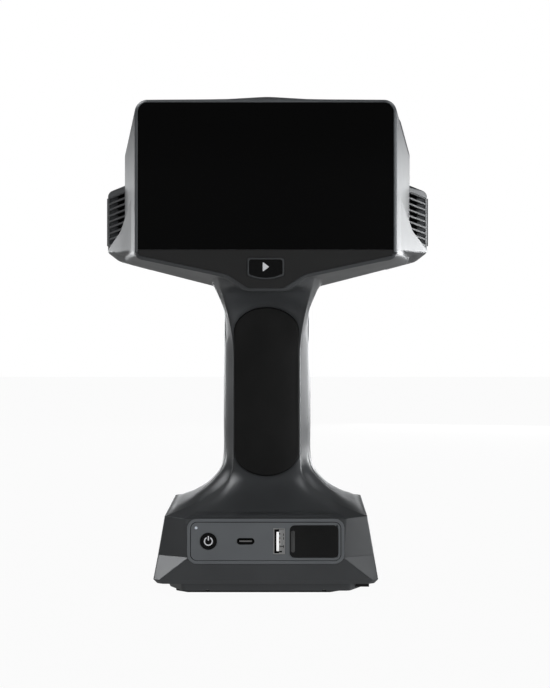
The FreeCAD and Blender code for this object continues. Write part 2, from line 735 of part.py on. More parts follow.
def panel_pocket():
    """The opening in the base that takes the port panel, with the ledge it rests on."""
    half, low = dim("panel_width") / 2 + 0.12, dim("panel_height") / 2 + 0.12
    pocket = prism(rectangle(-half, half, -low, low, dim("panel_radius")),
                   -6, dim("panel_thick") + 0.1)
    half, low = half - 2.4, low - 2.4
    through = prism(rectangle(-half, half, -low, low, 3), -1, 9)
    opening = pocket.fuse(through)
    opening.Placement = panel_place()
    return opening


def trim_outline(grow):
    """Outline of the trim below the screen: the head's rear outline cut off at the glass."""
    edge = 0.55 - grow
    top = dim("trim_top") + grow
    return mirrored([
        (dim("beard_half") - edge / 2, dim("beard_low") + edge, 4.0),
        (dim("beard_top_half") - edge / 2, dim("beard_top") + edge, 9.0),
        (dim("rear_half") - edge, dim("rear_corner") + edge, 2.2),
        (dim("rear_half") - edge, top, 0.3),
    ])


def largest(shape):
    """The biggest solid of a shape, without slivers left by a cut."""
    return max(shape.Solids, key=lambda solid: solid.Volume)


def build_housings():
    """Names the housing halves and the grilles."""
    rear, front, grilles = make_housings()
    done(plain("rear_shell", largest(rear)), "rear_housing")
    done(plain("front_shell", largest(front)), "front_housing")
    for side, grille in zip(("right", "left"), grilles):
        done(plain(f"{side}_grille", grille), f"vent_grille_{side}")


def build_screen():
    """Screen frame, cover glass, gasket and display."""
    plane, thick = dim("rear_plane"), dim("glass_thick")
    tape = 0.3
    frame = head_solid().common(
        slab(-REACH, REACH, -REACH, dim("screen_seam") - dim("frame_seam"),
             dim("frame_foot") + dim("frame_seam"), REACH))
    gap, corner = 0.1, dim("glass_radius")
    half, low, high = dim("glass_half") + gap, dim("glass_low") - gap, dim("glass_high") + gap
    pocket = prism([(-half, low, gap), (half, low, gap), (half, high, corner),
                    (-half, high, corner)], plane - 5, plane + thick + tape)
    window_half, window_low = dim("display_half") + 0.3, dim("display_low") - 0.3
    window = prism(rectangle(-window_half, window_half, window_low, dim("display_high") + 0.3, 1),
                   plane - 5, plane + 9)
    under_trim = prism(trim_outline(0.15), plane - 5, plane + dim("trim_thick") + 0.1)
    done(plain("frame", frame.cut([pocket, window, under_trim])), "screen_frame")

    glass = block("glass_blank", "glass_half * 2", "glass_thick", "glass_high - glass_low",
                  "0", "rear_plane", "(glass_high + glass_low) / 2")
    upper = (dim("glass_high") + dim("glass_low")) / 2
    done(filleted("glass", glass, corner, Vec(0, 1, 0), upper), "cover_glass")
    tape_outer = plate("tape_outer", "glass_half * 2 - 1", f"{tape}", "glass_high - glass_low - 1",
                       corner - 0.5, "0", "rear_plane + glass_thick", "(glass_high + glass_low) / 2")
    tape_inner = block("tape_inner", "display_half * 2 + 0.6", "3",
                       "display_high - display_low + 0.6", "0", "rear_plane",
                       "(display_high + display_low) / 2")
    done(cut("gasket", tape_outer, tape_inner), "display_gasket")
    display = block("display", "display_half * 2", "display_thick", "display_high - display_low",
                    "0", "rear_plane + glass_thick + 0.05", "(display_high + display_low) / 2")
    done(display, "display_module")


def plate(name, width, thick, height, radius, x, y, z):
    """A rounded plate that faces the operator, centred on x and z, its rear face at y."""
    blank = block(f"{name}_blank", width, thick, height, x, y, z)
    return filleted(name, blank, radius, Vec(0, 1, 0))


def filleted(name, blank, radius, along, above=-REACH):
    """A block with the edges that run in one direction, above some height, rounded."""
    doc.recompute()
    item = doc.addObject("Part::Fillet", name)
    item.Base = blank
    chosen = []
    for index, edge in enumerate(blank.Shape.Edges, start=1):
        aligned = abs(edge.tangentAt(edge.FirstParameter).dot(along)) > 0.9
        if aligned and edge.CenterOfMass.z > above:
            chosen.append((index, radius, radius))
    item.Edges = chosen
    return item


def build_controls():
    """Trim below the screen, the scan button in it and the switch behind it."""
    plane, thick = dim("rear_plane"), dim("trim_thick")
    trim = prism(trim_outline(0), plane, plane + thick)
    trim = trim.cut(prism(scan_outline(0.12), plane - 1, plane + 5))
    done(plain("trim", trim), "control_trim")

    ring = dim("scan_ring")
    cap = prism(scan_outline(0), plane - 0.3, plane + thick + 0.2)
    flange = prism(scan_outline(1.2), plane + thick + 0.1, plane + thick + 1.2)
    stem = Part.makeCylinder(2.0, 4.0, Vec(0, plane + 1, dim("scan_z")), Vec(0, 1, 0))
    recess = prism(scan_outline(-ring), plane - 1, plane + 0.7)
    done(plain("cap", cap.fuse([flange, stem]).cut(recess)), "scan_button")
    lens = prism(scan_outline(-ring - 0.03), plane - 0.25, plane + 0.68)
    middle = dim("scan_z") + 1.0
    triangle = Part.Face(rounded([(-1.5, middle - 2.5, 0.25), (1.8, middle, 0.25),
                                  (-1.5, middle + 2.5, 0.25)], upright(plane - 0.25)))
    symbol = triangle.extrude(Vec(0, 0.4, 0))
    done(plain("lens", lens.cut(symbol)), "scan_button_lens")
    done(plain("triangle", symbol), "scan_symbol")

    key = rod("key", "1.6", "1.4", "0", "rear_plane + 6.1", "scan_z")
    body = block("key_body", "6.2", "2.6", "6.2", "0", "rear_plane + 7.4", "scan_z")
    done(fuse("scan_key", key, body), "scan_switch")
    board = block("key_board", "20", "board_thick", "9", "0", "rear_plane + 10.05", "scan_z")
    done(board, "button_board")


def build_grips():
    """Rubber pads on the back and front of the handle, a little under its surface."""
    sunk = 0.75
    floor = dim("grip_floor") - 0.05
    rear = handle_solid()
    rear.translate(Vec(0, -sunk, 0))
    rear = rear.common(rear_pad(0, -REACH / 8, floor))
    done(plain("rear_pad", largest(rear)), "rear_grip")
    ahead = handle_solid()
    ahead.translate(Vec(0, sunk, 0))
    ahead = ahead.common(front_pad(0, dim("front_grip_floor") + 0.05, REACH / 8))
    done(plain("front_pad", largest(ahead)), "front_grip")


# ------------------------------------------------------------------ port panel

def build_port_panel():
    """The panel, with an opening for each thing that shows through it."""
    blank = plate("panel_plate", "panel_width", "panel_thick", "panel_height",
                  SIZES["panel_radius"], "0", "0", "0")
    groove_outer = plate("groove_outer", "panel_width - panel_border * 2", "panel_groove + 1",
                         "panel_height - panel_border * 2", SIZES["panel_radius"] - 1.6,
                         "0", "-1", "0")
    groove_inner = plate("groove_inner", "panel_width - panel_border * 2 - 0.7", "6",
                         "panel_height - panel_border * 2 - 0.7", SIZES["panel_radius"] - 1.9,
                         "0", "-2", "0")
    groove = cut("groove", groove_outer, groove_inner)
    power = rod("power_hole", "power_radius + 0.1", "9", "power_x", "-1", "0")
    light = rod("light_hole", "light_radius + 0.05", "9", "light_x", "-1", "light_z - panel_z")
    usb_c = plate("usb_c_hole", "usb_c_width + 0.2", "9", "usb_c_height + 0.2", 1.6,
                  "usb_c_x", "-1", "0")
    usb_a = block("usb_a_hole", "usb_a_width + 0.2", "9", "usb_a_height + 0.2",
                  "usb_a_x", "-1", "0")
    lid = plate("lid_pocket", "cover_width + 0.5", "cover_thick + 1.2", "cover_height + 0.5",
                SIZES["cover_radius"], "cover_x", "-1", "0")
    slot = block("card_window", "14", "9", "9", "cover_x", "-1", "0")
    pin = rod("pin_hole", "cover_pin_radius + 0.02", "cover_height + 2.4", "cover_pin_x",
              "cover_pin_y", "-(cover_height + 2.4) / 2", "z")
    knuckle = rod("knuckle_space", "knuckle_room", "cover_height + 0.4", "cover_pin_x",
                  "cover_pin_y", "-(cover_height + 0.4) / 2", "z")
    panel = cut("panel", blank, groove, power, light, usb_c, usb_a, lid, slot, pin, knuckle)
    done(on_panel(panel), "port_panel")


def panel_screw_spots():
    """Formulas for the port board's two screws, in the panel's frame."""
    return [("-24.0", "7.5"), ("1.0", "-8.0")]


def build_port_items():
    """The buttons, light, sockets, cover and board behind the panel."""
    cap = rod("power_cap", "power_radius", "panel_thick + 0.5", "power_x", "-0.25", "0")
    flange = rod("power_flange", "power_radius + 1", "0.8", "power_x", "panel_thick + 0.1", "0")
    stem = rod("power_stem", "1.2", "2", "power_x", "panel_thick + 0.5", "0")
    sunk = rod("power_sunk", "power_radius - 0.9", "1", "power_x", "-0.65", "0")
    ring = rod("symbol_ring", "2.3", "0.4", "power_x", "0.15", "0")
    ring_gap = rod("symbol_gap", "1.7", "1", "power_x", "-0.2", "0")
    notch = block("symbol_notch", "1.9", "1", "2.4", "power_x", "-0.2", "2.0")
    bar = block("symbol_bar", "0.6", "0.4", "2.3", "power_x", "0.15", "1.5")
    symbol = fuse("symbol", cut("symbol_arc", ring, ring_gap, notch), bar)
    body = cut("power_body", fuse("power_whole", cap, flange, stem), sunk, symbol)
    done(on_panel(body), "power_button")
    done(on_panel(group("power_sign", symbol)), "power_symbol")
    key = rod("power_key", "1.2", "1.4", "power_x", "panel_thick + 3.4", "0")
    base = block("power_key_base", "6", "2.2", "6", "power_x", "panel_thick + 4.4", "0")
    done(on_panel(fuse("power_tact", key, base)), "power_switch")
    pipe = rod("pipe", "light_radius", "9.7", "light_x", "0", "light_z - panel_z")
    done(on_panel(group("pipe_place", pipe)), "status_light_pipe")

    radius = SIZES["usb_c_height"] / 2 - 0.01
    shell = plate("c_outer", "usb_c_width", "socket_depth", "usb_c_height", radius,
                  "usb_c_x", "socket_set", "0")
    hollow = plate("c_inner", "usb_c_width - usb_wall * 2", "socket_depth - 2",
                   "usb_c_height - usb_wall * 2", radius - SIZES["usb_wall"],
                   "usb_c_x", "-1", "0")
    done(on_panel(cut("c_shell", shell, hollow)), "usb_c_shell")
    tongue = block("c_tongue", "usb_c_width - usb_wall * 2 - 1.7", "5.7", "0.7",
                   "usb_c_x", "0.8", "0")
    done(on_panel(group("c_tongue_place", tongue)), "usb_c_tongue")
    shell = block("a_outer", "usb_a_width", "socket_depth", "usb_a_height",
                  "usb_a_x", "socket_set", "0")
    hollow = block("a_inner", "usb_a_width - usb_wall * 2", "socket_depth - 0.6",
                   "usb_a_height - usb_wall * 2", "usb_a_x", "-1", "0")
    done(on_panel(cut("a_shell", shell, hollow)), "usb_a_shell")
    tongue = block("a_tongue", "1.8", "7.2", "usb_a_height - usb_wall * 2 - 1.2",
                   "usb_a_x - usb_a_width / 2 + 1.35", "0.75", "0")
    done(on_panel(group("a_tongue_place", tongue)), "usb_a_tongue")

    lid = plate("lid", "cover_pin_x - cover_x + cover_width / 2", "cover_thick",
                "cover_height", SIZES["cover_radius"] - 0.3,
                "(cover_pin_x + cover_x - cover_width / 2) / 2", "0.05", "0")
    knuckle = rod("lid_knuckle", "knuckle_radius", "cover_height", "cover_pin_x", "cover_pin_y",
                  "-cover_height / 2", "z")
    filler = block("lid_filler", "3", "cover_thick - 0.1", "cover_height",
                   "cover_pin_x - 1.5", "0.1", "0")
    bore = rod("lid_bore", "cover_pin_radius + 0.05", "cover_height + 2", "cover_pin_x",
               "cover_pin_y", "-cover_height / 2 - 1", "z")
    grip = plate("lid_notch", "3.8", "9", "11", 0.9, "cover_x - cover_width / 2", "-1", "0")
    done(on_panel(cut("lid_body", fuse("lid_whole", lid, knuckle, filler), bore, grip)),
         "port_cover")
    pin = rod("lid_pin", "cover_pin_radius", "cover_height + 2", "cover_pin_x", "cover_pin_y",
              "-(cover_height + 2) / 2", "z")
    done(on_panel(group("lid_pin_place", pin)), "port_cover_pin")
    card = block("card_body", "15.5", "6.2", "11", "cover_x", "panel_thick + 0.3", "0")
    card_slot = block("card_slot", "11.5", "4", "1.2", "cover_x", "panel_thick", "0")
    done(on_panel(cut("card", card, card_slot)), "card_socket")
    board = block("ports_board", "panel_width - 8", "board_thick", "panel_height - 3.5",
                  "0", "port_board_y", "0")
    holes = [rod("board_hole", "screw_radius + 0.05", "9", x, "6", z)
             for x, z in panel_screw_spots()]
    done(on_panel(cut("ports_board_cut", board, *holes)), "port_board")
    screws = []
    for x, z in panel_screw_spots():
        head = rod("board_screw_head", "screw_head", "1.4", x, "port_board_y + board_thick", z)
        shank = rod("board_screw_shank", "screw_radius", "5", x,
                    "port_board_y + board_thick - 3.35", z)
        screws.append(fuse("board_screw", head, shank))
    done(on_panel(group("board_screws", *screws)), "port_panel_screws")


# ------------------------------------------------------------------ battery and base

def build_battery():
    """The battery cassette, which slides up into the handle and carries the foot."""
    low, high, wall = dim("foot_thick") + 1.05, dim("case_high"), dim("case_wall")
    case = column(case_outline(0), low, high)
    case = case.cut(column(case_outline(-wall), low + wall, high - wall))
    slots = [slab(x - 3, x + 3, dim("battery_y") - 2, dim("battery_y") + 2, high - 3, high + 1)
             for x in (-10, 10)]
    done(plain("case", case.cut(slots)), "battery_case")
    cells = []
    for x in ("-cell_radius - 0.03", "cell_radius + 0.03"):
        for z in ("7", "cell_length + 7.3"):
            cells.append(rod("cell", "cell_radius", "cell_length", x, "battery_y", z, "z"))
    done(group("cells", *cells), "battery_cells")

    thick = dim("foot_thick")
    foot = column(foot_outline(0), dim("pad_thick"), thick + 1.0)
    done(plain("foot", foot), "battery_foot")
    pad = column(foot_outline(-0.2), 0, dim("pad_thick") - 0.02)
    done(plain("pad", pad), "foot_pad")

    gap, wall = dim("bay_gap"), dim("bay_wall")
    bay_low, bay_high = dim("bay_low"), dim("bay_high")
    bay = column(case_outline(gap + wall), bay_low, bay_high)
    bay = bay.cut(column(case_outline(gap), bay_low - 1, bay_high - wall))
    done(plain("bay", bay), "battery_bay")
    pins = []
    for x in ("-10", "10"):
        for shift in ("-1", "1"):
            pins.append(block("contact", "1.2", "1", "5", f"{x} + {shift} * 1.5",
                              "battery_y - 0.5", "case_high + 2.9"))
    done(group("contacts", *pins), "battery_contacts")


def build_base():
    """The bottom tray, and the latch in it that holds the battery."""
    low, shelf, top = dim("tray_low"), dim("tray_shelf"), dim("tray_top")
    rings = [(low, tray_outline(-dim("tray_draft"))), (shelf, tray_outline(0))]
    tray = Part.makeLoft([rounded(points, level(z)) for z, points in rings], True, True)
    flange = inset(lip_outline(), dim("wall") + 0.35)
    tray = tray.fuse([column(flange, shelf + 0.3, top),
                      column(tray_outline(-1), shelf - 0.1, shelf + 0.4)])
    tray = tray.cut(column(foot_outline(0.35), 0, dim("foot_thick") + 1.1))
    tray = tray.cut(column(case_outline(dim("bay_gap")), 0, top + 3))
    span, gap = dim("latch_length") / 2, 0.1
    low, high = dim("latch_low"), dim("latch_low") + dim("latch_height")
    inner = dim("latch_x") - dim("latch_depth") - dim("latch_travel") - 0.6
    tray = tray.cut(slab(inner, REACH, dim("latch_y") - span - gap, dim("latch_y") + span + gap,
                         low - gap, high + gap))
    for x, y in TRAY_SCREWS:
        tray = tray.cut(Part.makeCylinder(dim("screw_radius") + 0.05, top + 3, Vec(x, y, 0)))
        tray = tray.cut(Part.makeCylinder(dim("screw_head") + 0.2, TRAY_SEAT, Vec(x, y, 0)))
    done(plain("tray", largest(tray)), "base_tray")

    body = box("latch_body", "latch_depth", "latch_length", "latch_height",
               "latch_x - latch_depth / 2", "latch_y - latch_length / 2", "latch_low")
    ribs = [box("latch_rib", "0.6", "0.8", "latch_height + 1", "latch_x",
                f"latch_y + {step} * 2.4 - 0.4", "latch_low - 0.5") for step in (-2, -1, 0, 1, 2)]
    done(cut("latch_ribbed", body, *ribs), "battery_latch")


def screw(name, x, y, z, axis):
    """A socket-head screw whose head starts at the point and whose shank follows the axis."""
    radius, length = SIZES["screw_radius"], SIZES["screw_length"]
    head, height = SIZES["screw_head"], SIZES["screw_head_height"]
    point, along = Vec(x, y, z), Vec(*axis)
    solid = Part.makeCylinder(head, height, point - along * height, along)
    solid = solid.fuse(Part.makeCylinder(radius, length, point, along))
    socket = Part.makeCylinder(SIZES["hex_radius"], 1.0, point - along * height, along)
    return plain(name, solid.cut(socket))


def build_screws():
    """The screws that hold the housings and the tray."""
    screws = [screw("head_screw", x, HEAD_SEAT, z, (0, -1, 0)) for x, z in HEAD_SCREWS]
    screws += [screw("base_screw", x, BASE_SEAT, z, (0, -1, 0)) for x, z in BASE_SCREWS]
    done(group("screws", *screws), "housing_screws")
    screws = [screw("tray_screw", x, y, TRAY_SEAT, (0, 0, 1)) for x, y in TRAY_SCREWS]
    done(group("tray_screws", *screws), "base_tray_screws")


# ------------------------------------------------------------------ electronics in the head

def sketch_on(body, name, role):
    """A new sketch on one of a body's own origin planes."""
    sketch = body.newObject("Sketcher::SketchObject", name)
    plane = [item for item in body.Origin.OriginFeatures if item.Role == role][0]
    sketch.AttachmentSupport = (plane, "")
    sketch.MapMode = "FlatFace"
    return sketch


def centred_rectangle(sketch, width, height):
    """Draws a rectangle about the origin, with its sides bound to formulas."""
    corners = [Vec(-9, -6, 0), Vec(9, -6, 0), Vec(9, 6, 0), Vec(-9, 6, 0)]
    for index in range(4):
        sketch.addGeometry(Part.LineSegment(corners[index], corners[(index + 1) % 4]))
    for index in range(4):
        sketch.addConstraint(Sketcher.Constraint("Coincident", index, 2, (index + 1) % 4, 1))
    for index in (0, 2):
        sketch.addConstraint(Sketcher.Constraint("Horizontal", index))
        sketch.addConstraint(Sketcher.Constraint("Vertical", index + 1))
    sketch.addConstraint(Sketcher.Constraint("Symmetric", 0, 1, 1, 2, -1, 1))
    wide = sketch.addConstraint(Sketcher.Constraint("DistanceX", 0, 1, 0, 2, 18))
    tall = sketch.addConstraint(Sketcher.Constraint("DistanceY", 1, 1, 1, 2, 12))
    sketch.setExpression(f"Constraints[{wide}]", formula(width))
    sketch.setExpression(f"Constraints[{tall}]", formula(height))


def centred_circle(sketch, radius):
    """Draws a circle about the origin with a bound radius."""
    sketch.addGeometry(Part.Circle(Vec(0, 0, 0), Vec(0, 0, 1), 5))
    sketch.addConstraint(Sketcher.Constraint("Coincident", 0, 3, -1, 1))
    size = sketch.addConstraint(Sketcher.Constraint("Radius", 0, 5))
    sketch.setExpression(f"Constraints[{size}]", formula(radius))


def pad(body, sketch, name, length):
    """Pads a sketch by a bound length."""
    item = body.newObject("PartDesign::Pad", name)
    item.Profile = sketch
    item.setExpression("Length", formula(length))
    body.Tip = item
    return item


def build_board():
    """The main board with its mounting holes, the chips on it and the heat sink."""
    body = doc.addObject("PartDesign::Body", "board_body")
    outline = sketch_on(body, "board_outline", "XZ_Plane")
    centred_rectangle(outline, "main_width", "main_height")
    pad(body, outline, "board_pad", "board_thick")
    holes = sketch_on(body, "board_holes", "XZ_Plane")
    for index, (x, z) in enumerate([(-54, -23), (54, -23), (54, 23), (-54, 23)]):
        holes.addGeometry(Part.Circle(Vec(x, z, 0), Vec(0, 0, 1), 1.4))
        holes.addConstraint(Sketcher.Constraint("Radius", index, 1.4))
    doc.recompute()
    pocket = body.newObject("PartDesign::Pocket", "board_drill")
    pocket.Profile = holes
    pocket.Type = 1
    pocket.Midplane = True
    body.Tip = pocket
    bind(body, y="main_y + board_thick", z="main_z")
    done(body, "main_board")

    chips = []
    front = "main_y + board_thick"
    for index, (size, x, z) in enumerate([("22", -20, 4), ("16", 8, 8), ("12", 30, -4)]):
        chips.append(block("chip", size, "1.7", size, x, f"{front} + 0.02", f"main_z + {z}"))
    rear = "main_y - 2.52"
    for x in (-30, -12, 12, 30):
        chips.append(block("memory", "10", "2.5", "7", x, rear, "main_z - 8"))
    done(group("chips", *chips), "main_chips")

    sink_plate = block("sink_plate", "sink_width", "sink_base", "sink_height", "0", "sink_y - 1",
                       "main_z")
    fins = []
    count = int(SIZES["fin_count"])
    for index in range(count):
        share = f"({index} / {count - 1} - 0.5)"
        fins.append(block("fin", "sink_width", "fin_depth", "fin_thick", "0",
                          "sink_y - 1.2 + sink_base",
                          f"main_z + {share} * (sink_height - fin_thick)"))
    done(fuse("sink", sink_plate, *fins), "heat_sink")


def build_fans():
    """A square fan frame with its rotor on each side of the head."""
    half = "fan_size / 2"
    frame = box("fan_block", "fan_depth", "fan_size", "fan_size", "fan_x + fan_depth / 2",
                f"fan_y - {half}", f"fan_z - {half}")
    bore = rod("fan_bore_hole", "fan_bore", "fan_depth + 2", "fan_x - 1", "fan_y", "fan_z", "x")
    seat = rod("fan_seat", "hub_radius", "1.4", "fan_x", "fan_y", "fan_z", "x")
    arm = box("fan_arm", "1.4", "fan_size - 1", "2.4", "fan_x + 0.7", f"fan_y - {half} + 0.5",
              "fan_z - 1.2")
    bearing = rod("fan_bearing", "1.05", "6", "fan_x - 2", "fan_y", "fan_z", "x")
    right = cut("fan_frame", fuse("fan_whole", cut("fan_ring", frame, bore), seat, arm), bearing)

    body = doc.addObject("PartDesign::Body", "rotor_body")
    hub = sketch_on(body, "hub_outline", "XY_Plane")
    centred_circle(hub, "hub_radius")
    pad(body, hub, "hub_pad", "fan_depth - 2.4")
    shaft = sketch_on(body, "shaft_outline", "XY_Plane")
    centred_circle(shaft, "1.0")
    pad(body, shaft, "shaft_pad", "1.2").Reversed = True
    blade = sketch_on(body, "blade_outline", "YZ_Plane")
    corners = [Vec(-3.2, 0.6, 0), Vec(-2.0, 0.6, 0), Vec(3.2, 7.0, 0), Vec(2.0, 7.0, 0)]
    for index in range(4):
        blade.addGeometry(Part.LineSegment(corners[index], corners[(index + 1) % 4]))
    for index in range(4):
        blade.addConstraint(Sketcher.Constraint("Coincident", index, 2, (index + 1) % 4, 1))
        blade.addConstraint(Sketcher.Constraint("Block", index))
    blade_pad = pad(body, blade, "blade_pad", "blade_radius")
    doc.recompute()
    blades = body.newObject("PartDesign::PolarPattern", "blade_ring")
    blades.Originals = [blade_pad]
    blades.Axis = (hub, ["N_Axis"])
    blades.Angle = 360
    blades.setExpression("Occurrences", formula("blade_count"))
    body.Tip = blades
    body.Placement.Rotation = FreeCAD.Rotation(Vec(0, 1, 0), 90)
    bind(body, x="fan_x + 1.9", y="fan_y", z="fan_z")
    for item, label in ((right, "fan_frame"), (body, "fan_rotor")):
        done(item, f"{label}_right")
        other = doc.addObject("Part::Mirroring", f"{label}_mirror")
        other.Source = item
        other.Normal = Vec(1, 0, 0)
        done(other, f"{label}_left")


# ------------------------------------------------------------------ optics

def barrelled(name, size, depth, radius, x, z):
    """A camera or projector: a square body with a barrel in front, open for its lens."""
    body = block(f"{name}_body", size, depth, size, x, "bench_y + bench_thick - 6", z)
    front = "barrel_front + 1"
    barrel = rod(f"{name}_barrel", radius, f"{front} - bench_y", x, "bench_y", z)
    recess = rod(f"{name}_recess", f"{radius} - 1.5", "9", x, f"{front} - 1.4", z)
    return cut(name, fuse(f"{name}_whole", body, barrel), recess)


def lens(name, radius, x, z):
    """A lens with a domed front that fills a barrel's recess."""
    disc = rod(f"{name}_disc", f"{radius} - 1.55", "1.8", x, "barrel_front - 0.35", z)
    ball = doc.addObject("Part::Sphere", f"{name}_ball")
    bind(ball, Radius=f"{radius} * 2.4", x=x, y=f"barrel_front + 1.3 - {radius} * 2.4", z=z)
    item = doc.addObject("Part::Common", name)
    item.Base = disc
    item.Tool = ball
    return item


def build_optics():
    """The optical bench, two cameras with light rings, the projector and the texture camera."""
    bench = plate("bench", "bench_half * 2", "bench_thick", "bench_height", 4.0,
                  "0", "bench_y - 6.05", "optic_z - 4")
    done(bench, "optical_bench")
    for side, x in (("left", "-camera_x"), ("right", "camera_x")):
        camera = barrelled(f"{side}_camera", "camera_size", "camera_depth", "barrel_radius",
                           x, "optic_z")
        done(camera, f"camera_{side}")
    big = barrelled("light_engine", "camera_size + 8", "camera_depth", "projector_radius",
                    "0", "optic_z")
    done(big, "projector")
    small = barrelled("small_camera", "14", "camera_depth - 6", "texture_radius", "0", "texture_z")
    done(small, "texture_camera")
    lenses = [lens("left_lens", "barrel_radius", "-camera_x", "optic_z"),
              lens("right_lens", "barrel_radius", "camera_x", "optic_z"),
              lens("small_lens", "texture_radius", "0", "texture_z")]
    done(group("lens_set", *lenses), "camera_lenses")
    done(lens("big_lens", "projector_radius", "0", "optic_z"), "projector_lens")

    rings, lamps = [], []
    count = 12
    for x in ("-camera_x", "camera_x"):
        disc = rod("ring_disc", "camera_window - 0.3", "1", x, "barrel_front - 1", "optic_z")
        hole = rod("ring_hole", "barrel_radius + 0.2", "9", x, "barrel_front - 4", "optic_z")
        rings.append(cut("ring", disc, hole))
        for index in range(count):
            turn = f"{index * 360 / count:.0f}deg"
            reach = "(camera_window + barrel_radius) / 2"
            lamps.append(rod("lamp", "0.9", "0.8", f"{x} + {reach} * cos({turn})",
                             "barrel_front + 0.02", f"optic_z + {reach} * sin({turn})"))
    done(group("ring_pair", *rings), "led_rings")
    done(group("lamp_set", *lamps), "led_lamps")


def build_front():
    """The bezel and the clear windows that close the front of the head."""
    back, front, thick = dim("face_back"), dim("face_front"), dim("window_thick")
    outline = inset(mid_outline(), dim("front_inset") + dim("wall") - 0.4)
    bezel = prism(outline, back, front)
    pane = rectangle(-56.5, 56.5, 200.5, 231.5, 9)
    bezel = bezel.cut(prism(pane, front - thick - 0.1, front + 5))
    z = dim("optic_z")
    for x, radius in ((-dim("camera_x"), dim("camera_window")), (0, dim("projector_window")),
                      (dim("camera_x"), dim("camera_window"))):
        bezel = bezel.cut(Part.makeCylinder(radius, 20, Vec(x, 35, z), Vec(0, 1, 0)))
    low = Vec(0, 35, dim("texture_z"))
    radius = dim("texture_window")
    bezel = bezel.cut(Part.makeCylinder(radius - 1.2, 20, low, Vec(0, 1, 0)))
    seat = low + Vec(0, front - thick - 0.1 - 35, 0)
    bezel = bezel.cut(Part.makeCylinder(radius, 9, seat, Vec(0, 1, 0)))
    done(plain("bezel", bezel), "front_bezel")
    window = prism(inset(pane, 0.12), front - thick, front)
    disc = Part.makeCylinder(radius - 0.12, thick, seat + Vec(0, 0.1, 0), Vec(0, 1, 0))
    done(plain("windows", Part.makeCompound([window, disc])), "front_window")


def build_harness():
    """Three cables from the base up the back of the handle to the main board."""
    cables = []
    for x in (-6.0, 0.0, 6.0):
        path = [Vec(x, -41, 38), Vec(x, -32.5, 47), Vec(x, -21, 55.5), Vec(x, -14.6, 66),
                Vec(x, -13.6, 84), Vec(x, -13.6, 112), Vec(x, -13.6, 140), Vec(x, -17, 156),
                Vec(x, -30, 176), Vec(x, -36, 184)]
        curve = Part.BSplineCurve()
        curve.interpolate(path)
        start = Part.Circle(path[0], curve.tangent(0)[0], 1.3).toShape()
        cables.append(Part.Wire(curve.toShape()).makePipeShell([Part.Wire(start)], True, True))
    done(plain("cables", Part.makeCompound(cables)), "wiring_harness")


# ------------------------------------------------------------------ check and write

def write_parts():
    """Checks every object and writes each finished piece to its own file."""
    doc.recompute()
    for item in doc.Objects:
        if "Invalid" in item.State or "Error" in item.State:
            raise RuntimeError(f"{item.Name} did not recompute: {item.State}")
    os.makedirs("parts", exist_ok=True)
    for old in os.listdir("parts"):
        os.remove(os.path.join("parts", old))
    for item in finished:
        shape = item.Shape
        if shape.isNull() or not shape.isValid() or not shape.Solids:
            raise RuntimeError(f"{item.Label} has no valid solid")
        shape.exportStep(f"parts/{item.Label}.step")


build_housings()
build_screen()
build_controls()
build_grips()
build_port_panel()
build_port_items()
build_battery()
build_base()
build_screws()
build_board()
build_fans()
build_optics()
build_front()
build_harness()
write_parts()
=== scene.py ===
import bmesh
import bpy
import json
import math
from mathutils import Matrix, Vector


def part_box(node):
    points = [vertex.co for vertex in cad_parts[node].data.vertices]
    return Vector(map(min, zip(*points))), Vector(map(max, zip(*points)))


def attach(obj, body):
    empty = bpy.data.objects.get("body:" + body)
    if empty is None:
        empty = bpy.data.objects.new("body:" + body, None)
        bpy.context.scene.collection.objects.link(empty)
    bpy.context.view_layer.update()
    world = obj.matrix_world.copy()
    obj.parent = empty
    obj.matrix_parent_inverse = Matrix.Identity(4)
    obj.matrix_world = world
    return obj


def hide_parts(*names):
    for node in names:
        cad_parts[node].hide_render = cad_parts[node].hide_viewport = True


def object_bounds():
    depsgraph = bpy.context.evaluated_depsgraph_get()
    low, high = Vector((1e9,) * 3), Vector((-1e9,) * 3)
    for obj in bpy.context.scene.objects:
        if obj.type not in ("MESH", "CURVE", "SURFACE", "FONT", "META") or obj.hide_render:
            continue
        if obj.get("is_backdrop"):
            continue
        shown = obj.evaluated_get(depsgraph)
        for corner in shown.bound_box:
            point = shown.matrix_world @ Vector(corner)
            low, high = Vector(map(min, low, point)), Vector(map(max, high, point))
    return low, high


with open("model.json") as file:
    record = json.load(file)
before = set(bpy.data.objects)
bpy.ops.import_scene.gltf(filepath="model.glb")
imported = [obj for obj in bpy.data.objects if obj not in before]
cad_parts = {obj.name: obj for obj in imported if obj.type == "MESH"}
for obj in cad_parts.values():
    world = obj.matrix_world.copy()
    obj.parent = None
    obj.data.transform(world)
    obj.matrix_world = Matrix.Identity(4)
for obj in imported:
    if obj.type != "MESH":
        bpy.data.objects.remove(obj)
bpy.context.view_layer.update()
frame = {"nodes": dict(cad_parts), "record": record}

MM = 0.001

# ------------------------------------------------------------------ materials

# Samples for the mask of sharp edges, which are worn smoother and painted lighter as a highlight, and for
# rounded edges.
WORN_HIGHLIT_SAMPLES, ROUND_SAMPLES = 6, 8
# The cosine between a surface's own direction and its softened one, at a sharp edge and on a flat.
SHARP, FLAT = 0.80, 0.995


